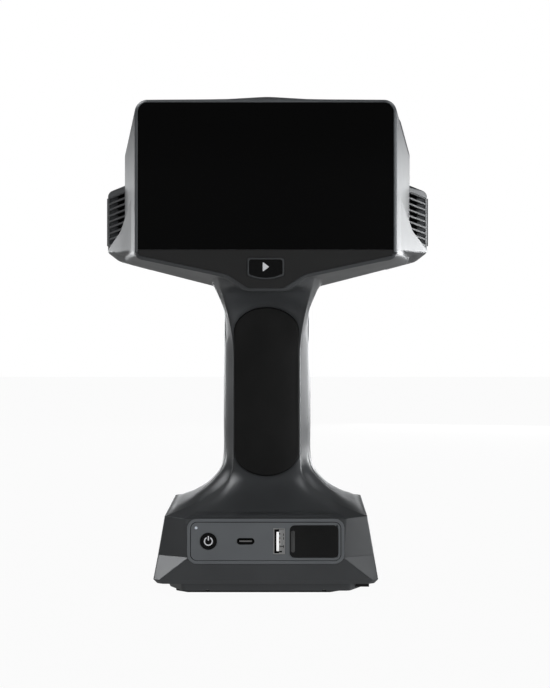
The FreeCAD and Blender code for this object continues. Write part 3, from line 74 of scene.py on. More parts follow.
class Shader:
    """A material under construction: makes nodes and joins them by name."""

    def __init__(self, name, tree=None):
        if tree:
            self.tree = tree
            return
        self.material = bpy.data.materials.new(name)
        self.material.use_nodes = True
        self.tree = self.material.node_tree
        self.surface = self.tree.nodes["Principled BSDF"]

    def node(self, kind, **settings):
        """A new node; a setting goes to the input of that name, or to the node itself."""
        made = self.tree.nodes.new(kind)
        for key, value in settings.items():
            socket = made.inputs.get(key.title())
            if socket:
                socket.default_value = value
            else:
                setattr(made, key, value)
        return made

    def join(self, source, target, socket):
        """Feeds a node's first output, or a given output, into an input by name or number."""
        output = source.outputs[0] if hasattr(source, "outputs") else source
        self.tree.links.new(output, target.inputs[socket])

    def feed(self, **inputs):
        """Feeds the surface's inputs: base_color means the one called Base Color."""
        for name, source in inputs.items():
            self.join(source, self.surface, name.replace("_", " ").title())

    def place(self):
        """Positions in the object's own frame, in metres."""
        return self.node("ShaderNodeTexCoord").outputs["Object"]

    def noise(self, scale, detail=2.0, roughness=0.5):
        """Cloudy noise from 0 to 1; scale is how many clouds there are to a metre."""
        made = self.node("ShaderNodeTexNoise", scale=scale, detail=detail, roughness=roughness)
        self.join(self.place(), made, "Vector")
        return made.outputs["Fac"]

    def spread(self, value, low, high, start=0.0, end=1.0):
        """Maps a value from start..end onto low..high."""
        made = self.node("ShaderNodeMapRange")
        for socket, number in ((1, start), (2, end), (3, low), (4, high)):
            made.inputs[socket].default_value = number
        self.join(value, made, 0)
        return made.outputs[0]

    def math(self, operation, first, second):
        """One sum on two values, each a number or a node's output."""
        made = self.node("ShaderNodeMath", operation=operation)
        for socket, value in enumerate((first, second)):
            if isinstance(value, (int, float)):
                made.inputs[socket].default_value = value
            else:
                self.join(value, made, socket)
        return made.outputs[0]

    def ramp(self, value, levels):
        """A level from 0 to 1 read off a list of (value, level) pairs."""
        made = self.node("ShaderNodeValToRGB")
        stops = made.color_ramp.elements
        while len(stops) < len(levels):
            stops.new(0.5)
        for stop, (position, level) in zip(stops, levels):
            stop.position = position
            stop.color = (level, level, level, 1)
        self.join(value, made, 0)
        return made.outputs[0]

    def blend(self, amount, first, second):
        """Mixes two colours by an amount."""
        made = self.node("ShaderNodeMix", data_type="RGBA")
        self.join(amount, made, 0)
        for socket, value in ((6, first), (7, second)):
            if isinstance(value, tuple):
                made.inputs[socket].default_value = (*value, 1.0)
            else:
                self.join(value, made, socket)
        return made.outputs[2]

    def edges(self, radius):
        """1 where the surface turns sharply, 0 where it is flat."""
        soft = self.node("ShaderNodeBevel", samples=WORN_HIGHLIT_SAMPLES, radius=radius)
        plain = self.node("ShaderNodeNewGeometry")
        match = self.node("ShaderNodeVectorMath", operation="DOT_PRODUCT")
        self.join(soft, match, 0)
        self.join(plain.outputs["Normal"], match, 1)
        return self.spread(match.outputs["Value"], 1.0, 0.0, start=SHARP, end=FLAT)

    def bump(self, height, strength, distance, rounding=0.0):
        """Fine relief, over edges softened by a radius that is a number or comes from nodes."""
        made = self.node("ShaderNodeBump", strength=strength, distance=distance)
        self.join(height, made, "Height")
        if rounding:
            soft = self.node("ShaderNodeBevel", samples=ROUND_SAMPLES)
            if isinstance(rounding, float):
                soft.inputs["Radius"].default_value = rounding
            else:
                self.join(rounding, soft, "Radius")
            self.join(soft, made, "Normal")
        self.join(made, self.surface, "Normal")


def tone(value):
    """A display grey from 0 to 255 as a linear light value."""
    share = value / 255
    return share / 12.92 if share <= 0.04045 else ((share + 0.055) / 1.055) ** 2.4


def grey(value, warm=0.0):
    """A display grey, with a little more red than blue if it is warm, and less if warm is negative."""
    level = tone(value)
    return (level * (1 + warm), level, level * (1 - warm))


def scaled(colour, share, more=0.0):
    return tuple(min(1.0, part * share + more) for part in colour)


# How far a zone takes to fade in, and a distance from the middle that every place is beyond.
ZONE_FADE = 6 * MM
ALL_ACROSS = -40 * MM


def blended_zones(shader, base):
    """The edge radius over the housing: wide at both ends of the handle and below the wings."""
    grip_low, grip_high = (corner.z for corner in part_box("rear_grip"))
    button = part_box("scan_button")[0].z
    seam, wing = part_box("screen_frame")[0].z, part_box("screen_frame")[1].x
    # Each zone's lowest and highest place, its nearest and furthest from the middle, and the radius
    # that it adds.
    neck = (grip_high - 20 * MM, button + 4 * MM, ALL_ACROSS, 34 * MM, 6 * MM)
    flare = (grip_low - 22 * MM, grip_low + 12 * MM, ALL_ACROSS, 40 * MM, 5 * MM)
    wings = (seam - 14 * MM, seam + 6 * MM, wing - 10 * MM, wing + 60 * MM, 4 * MM)

    parts = shader.node("ShaderNodeSeparateXYZ")
    shader.join(shader.place(), parts, 0)
    aside = shader.math("ABSOLUTE", parts.outputs["X"], 0)
    up = parts.outputs["Z"]
    radius = base
    for low, high, near, far, extra in (neck, flare, wings):
        for value, limit, way in ((up, low, 1), (up, high, -1), (aside, near, 1), (aside, far, -1)):
            inside = shader.spread(value, 0.0, 1.0, start=limit, end=limit + ZONE_FADE * way)
            extra = shader.math("MULTIPLY", inside, extra)
        radius = shader.math("ADD", extra, radius)
    return radius


# The band along sharp edges, smoother from wear and painted lighter as a highlight: its width as a share
# of the edge radius, and the least radius it goes by, in mm.
WORN_HIGHLIT_WIDTH, WORN_HIGHLIT_LEAST = 1.5, 0.2


def moulded(name, colour, rough, grain=0.25, depth=0.012, edge=0.5, round_by=0.35, specular=0.5,
            flowing=False):
    """Moulded or painted plastic: fine grain, uneven sheen and worn edges with a painted highlight.

    grain and depth are the texture's pitch and height, and round_by the edge radius, in mm. A
    flowing plastic has wide soft edges where blended_zones says.
    """
    shader = Shader(name)
    worn_and_highlit = shader.edges(max(round_by, WORN_HIGHLIT_LEAST) * MM * WORN_HIGHLIT_WIDTH)
    cloud = shader.spread(shader.noise(scale=55, detail=3.0), 0.0, 1.0, start=0.3, end=0.7)
    base = shader.blend(cloud, scaled(colour, 0.9), colour)
    # Sharp edges are painted this lighter colour, by the share edge: a painted edge highlight.
    light = scaled(colour, 1.12, more=0.004)
    smear = shader.noise(scale=18, detail=4.0, roughness=0.6)
    sheen = shader.spread(smear, rough - 0.04, rough + 0.05, start=0.3, end=0.7)
    polish = shader.math("MULTIPLY", worn_and_highlit, 0.08 * edge)
    shader.feed(base_color=shader.blend(shader.math("MULTIPLY", worn_and_highlit, edge), base, light),
                roughness=shader.math("SUBTRACT", sheen, polish))
    shader.surface.inputs["Specular IOR Level"].default_value = specular
    fine = shader.noise(scale=1000 / grain, detail=1.5)
    radius = blended_zones(shader, round_by * MM) if flowing else round_by * MM
    shader.bump(fine, strength=0.6, distance=depth * MM, rounding=radius)
    return shader.material


def glossy(name, colour, rough, transmission=0.0, smears=0.02):
    """Polished glass or plastic with faint finger smears."""
    shader = Shader(name)
    film = shader.noise(scale=35, detail=5.0, roughness=0.65)
    tint = shader.noise(scale=12)
    shader.feed(base_color=shader.blend(tint, scaled(colour, 0.85), colour),
                roughness=shader.spread(film, rough, rough + smears, start=0.45, end=0.75))
    shader.surface.inputs["Transmission Weight"].default_value = transmission
    shader.bump(shader.noise(scale=90, detail=1.0), strength=0.02, distance=0.05 * MM)
    return shader.material


def metal(name, colour, rough, brushed=True, metallic=1.0):
    """Brushed or plated metal with fine lines; when less metallic, its pale colour is painted reflection.
    """
    shader = Shader(name)
    stretch = shader.node("ShaderNodeMapping")
    stretch.inputs["Scale"].default_value = (1.0, 0.06, 1.0) if brushed else (1.0, 1.0, 1.0)
    shader.join(shader.place(), stretch, "Vector")
    lines = shader.node("ShaderNodeTexNoise", scale=2600.0, detail=3.0)
    shader.join(stretch, lines, "Vector")
    stain = shader.noise(scale=300, detail=3.0)
    shader.feed(base_color=shader.blend(stain, scaled(colour, 0.75), colour),
                roughness=shader.spread(lines, rough - 0.08, rough + 0.12))
    shader.surface.inputs["Metallic"].default_value = metallic
    shader.bump(lines, strength=0.25, distance=0.01 * MM, rounding=0.15 * MM)
    return shader.material


def rubber(name, colour, rough=0.62):
    """Soft rubber with a fine leathery grain."""
    shader = Shader(name)
    cells = shader.node("ShaderNodeTexVoronoi", scale=1400.0, feature="SMOOTH_F1")
    shader.join(shader.place(), cells, "Vector")
    fine = shader.math("MULTIPLY", shader.noise(scale=5200), 0.35)
    cloud = shader.noise(scale=40, detail=3.0)
    dust = shader.spread(cloud, 0.0, 1.0, start=0.4, end=0.8)
    shader.feed(base_color=shader.blend(dust, colour, scaled(colour, 1.35, more=0.002)),
                roughness=shader.spread(cloud, rough - 0.05, rough + 0.08))
    shader.surface.inputs["Specular IOR Level"].default_value = 0.35
    leather = shader.math("ADD", cells.outputs["Distance"], fine)
    shader.bump(leather, strength=0.5, distance=0.05 * MM, rounding=0.5 * MM)
    return shader.material


def glowing(name, colour, power):
    """A symbol or lamp that light shines through, a little uneven; on the socket tongues, painted light.
    """
    shader = Shader(name)
    cloud = shader.noise(scale=900)
    lit = shader.blend(cloud, scaled(colour, 0.86), colour)
    shader.feed(base_color=lit, emission_color=lit, roughness=shader.spread(cloud, 0.3, 0.45))
    shader.surface.inputs["Emission Strength"].default_value = power
    return shader.material


SOLDER_MASK = (0.02, 0.12, 0.05)


def circuit(name):
    """Solder mask over dark tracks."""
    shader = Shader(name)
    tracks = shader.node("ShaderNodeTexBrick", scale=420.0)
    shader.join(shader.place(), tracks, "Vector")
    drawn = tracks.outputs["Fac"]
    shader.feed(base_color=shader.blend(drawn, grey(40), SOLDER_MASK),
                roughness=shader.spread(shader.noise(scale=400), 0.28, 0.42))
    shader.bump(drawn, strength=0.3, distance=0.03 * MM)
    return shader.material


LOOKS = {
    "housing_plastic": moulded("housing_plastic", grey(96, -0.05), 0.32, flowing=True),
    "frame_plastic": moulded("frame_plastic", grey(122, -0.06), 0.34),
    "trim_plastic": moulded("trim_plastic", grey(54), 0.48, edge=0.3),
    "panel_plastic": moulded("panel_plastic", grey(146, -0.06), 0.42),
    "black_plastic": moulded("black_plastic", grey(34), 0.5),
    "button_gloss": glossy("button_gloss", grey(22), 0.16),
    "grip_rubber": rubber("grip_rubber", grey(32)),
    "screen_glass": glossy("screen_glass", grey(7), 0.05),
    "clear_glass": glossy("clear_glass", (0.8, 0.82, 0.84), 0.03, transmission=0.95),
    "lens_glass": glossy("lens_glass", (0.03, 0.02, 0.06), 0.03),
    "display_panel": glossy("display_panel", grey(12), 0.2),
    "tape": glossy("tape", grey(20), 0.4),
    "symbol_white": glowing("symbol_white", (0.86, 0.87, 0.9), 0.25),
    "light_pipe": glowing("light_pipe", (0.75, 0.8, 0.9), 0.3),
    "steel": metal("steel", (0.62, 0.62, 0.63), 0.28),
    # The tall socket's white tongue glows though it is no lamp: painted light, to bring it up to white in
    # its shaded socket.
    "tongue_white": glowing("tongue_white", grey(245), 0.75),
    "circuit_board": circuit("circuit_board"),
    "chip_black": moulded("chip_black", grey(30), 0.55),
    "aluminium": metal("aluminium", (0.66, 0.67, 0.69), 0.35),
    "black_metal": metal("black_metal", (0.03, 0.03, 0.033), 0.4, brushed=False),
    "battery_wrap": glossy("battery_wrap", (0.02, 0.1, 0.28), 0.25),
    "contact_gold": metal("contact_gold", (0.8, 0.58, 0.24), 0.25, brushed=False),
    "cable": rubber("cable", grey(26), 0.5),
    "lamp": glowing("lamp", (0.9, 0.88, 0.8), 0.1),
    # The sockets' steel: nearly white and barely metallic, so the lamps light it up as a painted
    # reflection.
    "socket_steel": metal("socket_steel", grey(228), 0.4, metallic=0.15),
    # Black for the panel's seal cord and the tall socket's insulator; on the small socket's steel shell
    # it is painted shade.
    "socket_black": moulded("socket_black", grey(14), 0.55, specular=0.2),
    "tab_rubber": rubber("tab_rubber", grey(96), 0.5),
    # The small socket's tongue glows though it is no lamp: painted light in its shaded recess.
    "tongue_grey_painted_light": glowing("tongue_grey_painted_light", grey(118), 0.3),
}
# Nodes with a look of their own, in place of their material slot's.
NODE_LOOKS = {
    "screen_frame": "frame_plastic",
    # The tall socket's shell takes that pale steel: painted reflection.
    "usb_a_shell": "socket_steel",
    # The small socket's steel shell is painted black: painted shade for its dark slot.
    "usb_c_shell": "socket_black",
    # Its tongue glows as painted light in the socket's shade.
    "usb_c_tongue": "tongue_grey_painted_light",
}


def dress_nodes():
    """Gives each CAD node its own look, or the look of its material slot."""
    slots = {row["node"]: row["material_slot"] for row in frame["record"]["subparts"]}
    for name, item in frame["nodes"].items():
        item.data.materials.clear()
        item.data.materials.append(LOOKS[NODE_LOOKS.get(name, slots[name])])


# ------------------------------------------------------------------ soft and small pieces


def add_mesh(name, points, faces, look, body, stands_for=()):
    """A smooth-shaded piece with a look, riding on a body."""
    mesh = bpy.data.meshes.new(name)
    mesh.from_pydata([tuple(point) for point in points], [], faces)
    shaped = bmesh.new()
    shaped.from_mesh(mesh)
    bmesh.ops.recalc_face_normals(shaped, faces=shaped.faces)
    shaped.to_mesh(mesh)
    shaped.free()
    mesh.polygons.foreach_set("use_smooth", [True] * len(mesh.polygons))
    mesh.materials.append(LOOKS[look])
    item = bpy.data.objects.new(name, mesh)
    bpy.context.collection.objects.link(item)
    if stands_for:
        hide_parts(*stands_for)
    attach(item, body)
    return item


def rings_to_faces(rings, around):
    """Faces between rings of points, and one face each to close the first and the last ring."""
    faces = []
    for ring in range(rings - 1):
        for step in range(around):
            ahead = (step + 1) % around
            a, b = ring * around, (ring + 1) * around
            faces.append((a + step, a + ahead, b + ahead, b + step))
    faces.append(tuple(range(around)))
    faces.append(tuple(range((rings - 1) * around, rings * around)))
    return faces


# The pad's gap to its recess, the radius of its rim, how deep its side goes and how far it bulges.
PAD_GAP, PAD_RIM, PAD_SIDE, PAD_CROWN = 0.05 * MM, 0.9 * MM, 1.5 * MM, 0.35 * MM
# Rings of points over the pad's face, as shares of the way from its middle to its rim.
PAD_RINGS = [0.06, 0.2, 0.36, 0.52, 0.66, 0.78, 0.88]
PAD_AROUND, RIM_STEPS = 144, 7
HALVINGS = 22


class Feeler:
    """Feels a CAD node's outline and height with rays along Y."""

    def __init__(self, node, way):
        self.item = frame["nodes"][node]
        self.way = way
        self.low, self.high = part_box(node)
        self.middle = (self.low + self.high) / 2

    def depth(self, x, z):
        """The Y of the surface here, or None beside it."""
        start = Vector((x, -self.way, z))
        hit, place, _, _ = self.item.ray_cast(start, Vector((0, self.way, 0)))
        return place.y if hit else None

    def reach(self, x, z):
        """How far the outline is from the middle in this direction."""
        near, far = 0.0, (self.high - self.low).length
        for _ in range(HALVINGS):
            half = (near + far) / 2
            inside = self.depth(self.middle.x + x * half, self.middle.z + z * half) is not None
            near, far = (half, far) if inside else (near, half)
        return near

    def spokes(self, count):
        """(x, z, reach) of directions all round the middle, closer together at the long ends."""
        size = self.high - self.low
        found = []
        for step in range(count):
            angle = 2 * math.pi * step / count
            x, z = math.cos(angle) * size.x, math.sin(angle) * size.z
            length = math.hypot(x, z)
            x, z = x / length, z / length
            found.append((x, z, self.reach(x, z) - PAD_GAP))
        return found


def grip_pad(node, way):
    """A soft grip pad over its CAD node: slightly crowned, with a rim that rolls into its recess.

    way is 1 for a pad on the rear, which faces -Y, and -1 for one on the front.
    """
    feeler = Feeler(node, way)
    middle, spokes, points = feeler.middle, feeler.spokes(PAD_AROUND), []
    for share in PAD_RINGS:
        for x, z, reach in spokes:
            out = share * (reach - PAD_RIM)
            px, pz = middle.x + x * out, middle.z + z * out
            points.append((px, feeler.depth(px, pz) - way * PAD_CROWN * (1 - share ** 2), pz))
    edge = []
    for x, z, reach in spokes:
        inner = reach - PAD_RIM
        edge.append(feeler.depth(middle.x + x * inner, middle.z + z * inner))
    edge = [(edge[step - 1] + edge[step] + edge[(step + 1) % PAD_AROUND]) / 3
            for step in range(PAD_AROUND)]
    for step in range(RIM_STEPS + 1):
        angle = math.radians(90 * step / RIM_STEPS)
        for (x, z, reach), depth in zip(spokes, edge):
            out = reach - PAD_RIM * (1 - math.sin(angle))
            points.append((middle.x + x * out, depth + way * PAD_RIM * (1 - math.cos(angle)),
                           middle.z + z * out))
    for (x, z, reach), depth in zip(spokes, edge):
        points.append((middle.x + x * reach, depth + way * (PAD_RIM + PAD_SIDE), middle.z + z * reach))
    faces = rings_to_faces(len(points) // PAD_AROUND, PAD_AROUND)
    add_mesh(f"{node}_skin", points, faces, "grip_rubber", "housing", [node])


def rounded_ring(left, right, low, high, radius, steps=8):
    """Points (a, b) round a rectangle with rounded corners."""
    ring = []
    corners = [(right, high, 0), (left, high, 90), (left, low, 180), (right, low, 270)]
    for a, b, start in corners:
        a += radius if a == left else -radius
        b += radius if b == low else -radius
        for step in range(steps + 1):
            angle = math.radians(start + 90 * step / steps)
            ring.append((a + radius * math.cos(angle), b + radius * math.sin(angle)))
    return ring


SOLE_RIM, SOLE_CORNER, SOLE_MARGIN = 0.5 * MM, 9.0 * MM, 7.0 * MM
SOLE_PITCH, SOLE_GROOVE, SOLE_WALL, SOLE_DEPTH = 5.0 * MM, 1.6 * MM, 0.25 * MM, 0.5 * MM
# Steps over the rolled edge, lines of points that they make, and lines of points to a groove.
SOLE_STEPS = 6
RIM_LINES, GROOVE_LINES = SOLE_STEPS + 1, 4


def sole_rows(half):
    """Where the sole's rows of points lie: over its rolled edges and at the walls of each groove."""
    rim = [-half + SOLE_RIM * step / SOLE_STEPS for step in range(RIM_LINES)]
    grooves, start = [], -half + SOLE_MARGIN
    while start < half - SOLE_MARGIN:
        for offset in (0, SOLE_WALL, SOLE_GROOVE - SOLE_WALL, SOLE_GROOVE):
            grooves.append(start + offset)
        start += SOLE_PITCH
    return rim + grooves + [-y for y in rim[::-1]]


def sole_columns(left, right):
    """Where a row's points lie: over its rolled ends and at the ends of a groove."""
    inward = [step / SOLE_STEPS * SOLE_RIM for step in range(RIM_LINES)]
    inward += [SOLE_MARGIN / 2, SOLE_MARGIN / 2 + SOLE_WALL]
    return [left + step for step in inward] + [right - step for step in inward[::-1]]


def grid_border(rows, columns):
    """The numbers of the points along a grid's four sides, in order."""
    last = (rows - 1) * columns
    border = list(range(columns))
    border += [row * columns + columns - 1 for row in range(1, rows)]
    border += list(range(last + columns - 2, last - 1, -1))
    return border + [row * columns for row in range(rows - 2, 0, -1)]


def foot_sole():
    """The foot's rubber sole, with a rolled edge and grooves across it."""
    low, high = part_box("foot_pad")
    middle, half = (low.y + high.y) / 2, (high.y - low.y) / 2
    rows, points = sole_rows(half), []
    for row, y in enumerate(rows):
        past = max(0.0, abs(y) - (half - SOLE_CORNER))
        drawn = SOLE_CORNER - math.sqrt(SOLE_CORNER ** 2 - past ** 2)
        left, right = low.x + drawn, high.x - drawn
        across = sole_columns(left, right)
        columns = len(across)
        grooved = RIM_LINES <= row < len(rows) - RIM_LINES and (row - RIM_LINES) % GROOVE_LINES in (1, 2)
        for column, x in enumerate(across):
            edge = min(x - left, right - x, half - abs(y), SOLE_RIM)
            up = SOLE_RIM - math.sqrt(SOLE_RIM ** 2 - (SOLE_RIM - edge) ** 2)
            if grooved and RIM_LINES < column < columns - 1 - RIM_LINES:
                up += SOLE_DEPTH
            points.append((x, middle + y, low.z + up))
    faces = [(first, first + 1, first + columns + 1, first + columns)
             for row in range(len(rows) - 1)
             for first in range(row * columns, (row + 1) * columns - 1)]
    border, roof = grid_border(len(rows), columns), len(points)
    points += [(points[index][0], points[index][1], high.z) for index in border]
    for step, index in enumerate(border):
        ahead = (step + 1) % len(border)
        faces.append((index, border[ahead], roof + ahead, roof + step))
    faces.append(tuple(range(roof, roof + len(border))))
    add_mesh("foot_sole", points, faces, "grip_rubber", "battery", ["foot_pad"])


# ------------------------------------------------------------------ the port panel's pieces

PANEL_MARGIN = 3 * MM


class Panel:
    """The port panel's own frame: across it, out of it and up it, from the middle of its face."""

    def __init__(self):
        item = frame["nodes"]["port_panel"]
        low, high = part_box("port_panel")
        middle, toward = (low.x + high.x) / 2, Vector((0, 1, 0))
        spots = [item.ray_cast(Vector((middle, -1, z)), toward)[1]
                 for z in (low.z + PANEL_MARGIN, high.z - PANEL_MARGIN)]
        self.up = (spots[1] - spots[0]).normalized()
        self.right = Vector((1, 0, 0))
        self.out = self.right.cross(self.up)
        self.origin = (spots[0] + spots[1]) / 2

    def point(self, a, b, out):
        """The place this far across, up and out."""
        return self.origin + self.right * a + self.up * b + self.out * out

    def of(self, place):
        """How far across, up and out a place is."""
        way = place - self.origin
        return way.dot(self.right), way.dot(self.up), way.dot(self.out)


LEAST_RADIUS = 0.15 * MM


def stacked(panel, name, box, radius, levels, look, body="housing", stands_for=()):
    """A cushion-like piece on the panel: a rounded rectangle, drawn in by an amount at each height.

    box is its left, right, bottom and top; each level is how far it is drawn in and how far out of
    the panel's face it lies, both in mm.
    """
    left, right, low, high = box
    points = []
    for inset, out in levels:
        inset, out = inset * MM, out * MM
        ring = rounded_ring(left + inset, right - inset, low + inset, high - inset,
                            max(radius - inset, LEAST_RADIUS))
        points += [panel.point(a, b, out) for a, b in ring]
    around = len(points) // len(levels)
    return add_mesh(name, points, rings_to_faces(len(levels), around), look, body, stands_for)


CORD_INSET, CORD_WIDE, CORD_RADIUS = 1.6 * MM, 0.34 * MM, 3.4 * MM
# Across the cord, as a share of its width, and out of the panel's face, in mm.
CORD_SECTION = [(0.0, -0.35), (0.0, -0.12), (0.2, -0.06), (0.8, -0.06), (1.0, -0.12), (1.0, -0.35)]


def panel_cord(panel):
    """A thin dark seal lying in the groove round the panel's face."""
    low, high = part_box("port_panel")
    half, tall = (high.x - low.x) / 2 - CORD_INSET, (high.z - low.z) / 2 - CORD_INSET
    points = []
    for share, out in CORD_SECTION:
        inset = share * CORD_WIDE
        ring = rounded_ring(inset - half, half - inset, inset - tall, tall - inset, CORD_RADIUS - inset)
        points += [panel.point(a, b, out * MM) for a, b in ring]
    around = len(points) // len(CORD_SECTION)
    faces = rings_to_faces(len(CORD_SECTION), around)[:-2]
    last = (len(CORD_SECTION) - 1) * around
    faces += [(step, (step + 1) % around, last + (step + 1) % around, last + step)
              for step in range(around)]
    add_mesh("port_panel_cord", points, faces, "socket_black", "housing")


BARREL_RADIUS, BARREL_SHORTER, BARREL_AROUND = 1.0 * MM, 0.6 * MM, 28
# How far a barrel's end is chamfered, and a neck's half-widths where it starts and at its bottom.
BARREL_CHAMFER, NECK_WIDE, NECK_NARROW = 0.2 * MM, 0.25 * MM, 0.1 * MM
END_SHARE, NECK_SHARE = 0.8, 0.75


def hinge_barrel(panel, half):
    """The hinge's barrel round its pin, with chamfered ends and two necks between its knuckles."""
    pin_low, pin_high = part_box("port_cover_pin")
    across, _, out = panel.of((pin_low + pin_high) / 2)
    profile = [(-half, END_SHARE), (-half + BARREL_CHAMFER, 1.0)]
    for neck in (-half / 3, half / 3):
        profile += [(neck - NECK_WIDE, 1.0), (neck - NECK_NARROW, NECK_SHARE),
                    (neck + NECK_NARROW, NECK_SHARE), (neck + NECK_WIDE, 1.0)]
    profile += [(half - BARREL_CHAMFER, 1.0), (half, END_SHARE)]
    points = []
    for b, share in profile:
        for step in range(BARREL_AROUND):
            angle = 2 * math.pi * step / BARREL_AROUND
            reach = BARREL_RADIUS * share
            points.append(panel.point(across + reach * math.cos(angle), b,
                                      out + reach * math.sin(angle)))
    faces = rings_to_faces(len(profile), BARREL_AROUND)
    add_mesh("port_lid_barrel", points, faces, "grip_rubber", "cover")


# The lid is a little taller than its CAD node, and its lip is wider on the hinge's side.
LID_RADIUS, LID_TALLER, LID_LIP, HINGE_LIP = 2.5 * MM, 0.15 * MM, 0.3 * MM, 0.48 * MM
LID_LEVELS = [(0.6, -1.9), (0.5, -0.05), (0.0, 0.01), (0.0, 0.12), (0.05, 0.21), (0.14, 0.28),
              (0.3, 0.32), (1.0, 0.34), (1.35, 0.28), (1.6, 0.28), (1.95, 0.34), (4.0, 0.37), (7.0, 0.39)]
# The finger tab's two sides from the lid's free edge, and half its height.
TAB_NEAR, TAB_FAR, TAB_HALF, TAB_RADIUS = 0.6 * MM, 2.6 * MM, 5.5 * MM, 0.9 * MM
TAB_LEVELS = [(0.0, 0.2), (0.0, 0.36), (0.1, 0.42), (0.3, 0.44), (0.6, 0.36), (0.8, 0.34)]


def port_lid(panel):
    """The rubber lid over the card slot, with a lip on the panel, a finger tab and a hinge barrel."""
    low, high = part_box("port_cover")
    left, bottom, _ = panel.of(low)
    right, top, _ = panel.of(high)
    half = (top - bottom) / 2 + LID_TALLER
    box = (left - LID_LIP, right + HINGE_LIP, -half, half)
    stacked(panel, "port_lid", box, LID_RADIUS, LID_LEVELS, "grip_rubber", "cover", ["port_cover"])
    tab = (box[0] + TAB_NEAR, box[0] + TAB_FAR, -TAB_HALF, TAB_HALF)
    stacked(panel, "port_lid_tab", tab, TAB_RADIUS, TAB_LEVELS, "tab_rubber", "cover")
    hinge_barrel(panel, half - BARREL_SHORTER)


# The tall socket's inside, in mm: across from its shell's left side, and up from its middle.
SPRING_PLATE = (2.9, 5.5, -6.1, 6.1)
SPRING_WINDOWS = [
    (2.9, 3.45, 3.5, 4.45), (2.9, 3.45, 1.2, 2.1), (2.9, 3.45, -0.75, 0.2),
    (5.0, 5.35, 2.85, 4.05), (5.0, 5.35, 0.95, 2.15),
    (3.1, 3.5, -3.05, -1.95), (3.5, 5.0, -2.65, -2.3), (5.0, 5.3, -3.2, -1.85),
    (2.9, 4.4, -5.5, -4.8),
]
SPRING_BACK, SPRING_THICK, SPRING_SOFT = -1.3 * MM, 0.2 * MM, 0.05 * MM
# The plate is sprung into waves: their height, and how many radians there are to a mm across.
SPRING_WAVE, WAVE_TURN = 0.12 * MM, 2.4


def spring_plate(panel, left):
    """The slotted plate that grips a plug, lying in shallow waves."""
    cuts = [SPRING_PLATE] + SPRING_WINDOWS
    across = sorted({value for window in cuts for value in window[:2]})
    upward = sorted({value for window in cuts for value in window[2:]})
    points = [panel.point(left + a * MM, b * MM, SPRING_BACK + SPRING_WAVE * math.sin(a * WAVE_TURN))
              for b in upward for a in across]
    faces = []
    for row in range(len(upward) - 1):
        for column in range(len(across) - 1):
            a, b = (across[column] + across[column + 1]) / 2, (upward[row] + upward[row + 1]) / 2
            if any(w[0] < a < w[1] and w[2] < b < w[3] for w in SPRING_WINDOWS):
                continue
            first = row * len(across) + column
            faces.append((first, first + 1, first + len(across) + 1, first + len(across)))
    plate = add_mesh("usb_a_spring_plate", points, faces, "socket_steel", "housing")
    thick = plate.modifiers.new("thick", "SOLIDIFY")
    thick.thickness = SPRING_THICK
    soft = plate.modifiers.new("soft", "BEVEL")
    soft.width, soft.segments = SPRING_SOFT, 2


SHELL_WALL, SHELL_END = 0.42 * MM, 0.5 * MM
SOCKET_RADIUS = 0.3 * MM
INSULATOR_LEVELS = [(0.0, -4.0), (0.0, -1.75), (0.15, -1.6)]
# The tongue's two sides from the shell's left side, and half its height.
TONGUE_NEAR, TONGUE_FAR, TONGUE_HALF = 1.55 * MM, 2.8 * MM, 4.9 * MM
TONGUE_LEVELS = [(0.0, -7.0), (0.0, -0.95), (0.08, -0.83), (0.2, -0.8)]
# Four contacts, each partly sunk into the tongue's right side.
A_CONTACTS, A_PITCH, A_SUNK, A_PROUD, A_HALF = 4, 2.5 * MM, 0.05 * MM, 0.14 * MM, 0.5 * MM
A_LEVELS = [(0.0, -6.0), (0.0, -1.2), (0.1, -1.0)]


def usb_a_details(panel):
    """Inside the tall socket: a black insulator, a slotted spring plate, a tongue and its contacts."""
    low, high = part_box("usb_a_shell")
    left, right, half = low.x, high.x, (high.z - low.z) / 2 - SHELL_END
    back = (left + SHELL_WALL, right - SHELL_WALL, -half, half)
    stacked(panel, "usb_a_insulator", back, SOCKET_RADIUS, INSULATOR_LEVELS, "socket_black")
    spring_plate(panel, left)
    tongue = (left + TONGUE_NEAR, left + TONGUE_FAR, -TONGUE_HALF, TONGUE_HALF)
    # The tongue's white glows as painted light.
    stacked(panel, "usb_a_tongue_bar", tongue, SOCKET_RADIUS, TONGUE_LEVELS, "tongue_white",
            stands_for=["usb_a_tongue"])
    for number in range(A_CONTACTS):
        b = (number - (A_CONTACTS - 1) / 2) * A_PITCH
        contact = (tongue[1] - A_SUNK, tongue[1] + A_PROUD, b - A_HALF, b + A_HALF)
        stacked(panel, f"usb_a_contact_{number + 1}", contact, LEAST_RADIUS, A_LEVELS, "contact_gold")


# Twelve contacts, partly sunk into the small tongue's upper face.
C_CONTACTS, C_PITCH, C_SUNK, C_PROUD, C_HALF = 12, 0.5 * MM, 0.12 * MM, 0.06 * MM, 0.13 * MM
# How far each level is drawn in, and how far behind the tongue's front it lies, in mm.
C_LEVELS = [(0.0, 4.0), (0.0, 0.25), (0.05, 0.1)]


def usb_c_details(panel):
    """The small socket's tongue carries a row of fine contacts along its upper face."""
    low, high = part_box("usb_c_tongue")
    _, top, front = panel.of(Vector((0, low.y, high.z)))
    levels = [(inset, front / MM - behind) for inset, behind in C_LEVELS]
    for number in range(C_CONTACTS):
        a = (low.x + high.x) / 2 + (number - (C_CONTACTS - 1) / 2) * C_PITCH
        contact = (a - C_HALF, a + C_HALF, top - C_SUNK, top + C_PROUD)
        stacked(panel, f"usb_c_contact_{number + 1}", contact, LEAST_RADIUS, levels, "contact_gold")


# ------------------------------------------------------------------ floor, light and camera

# The camera's distance from the object's rear, and how far aside and up it stands.
CAMERA_REACH, CAMERA_ASIDE, CAMERA_HEIGHT = 0.900, 0.012, 0.129
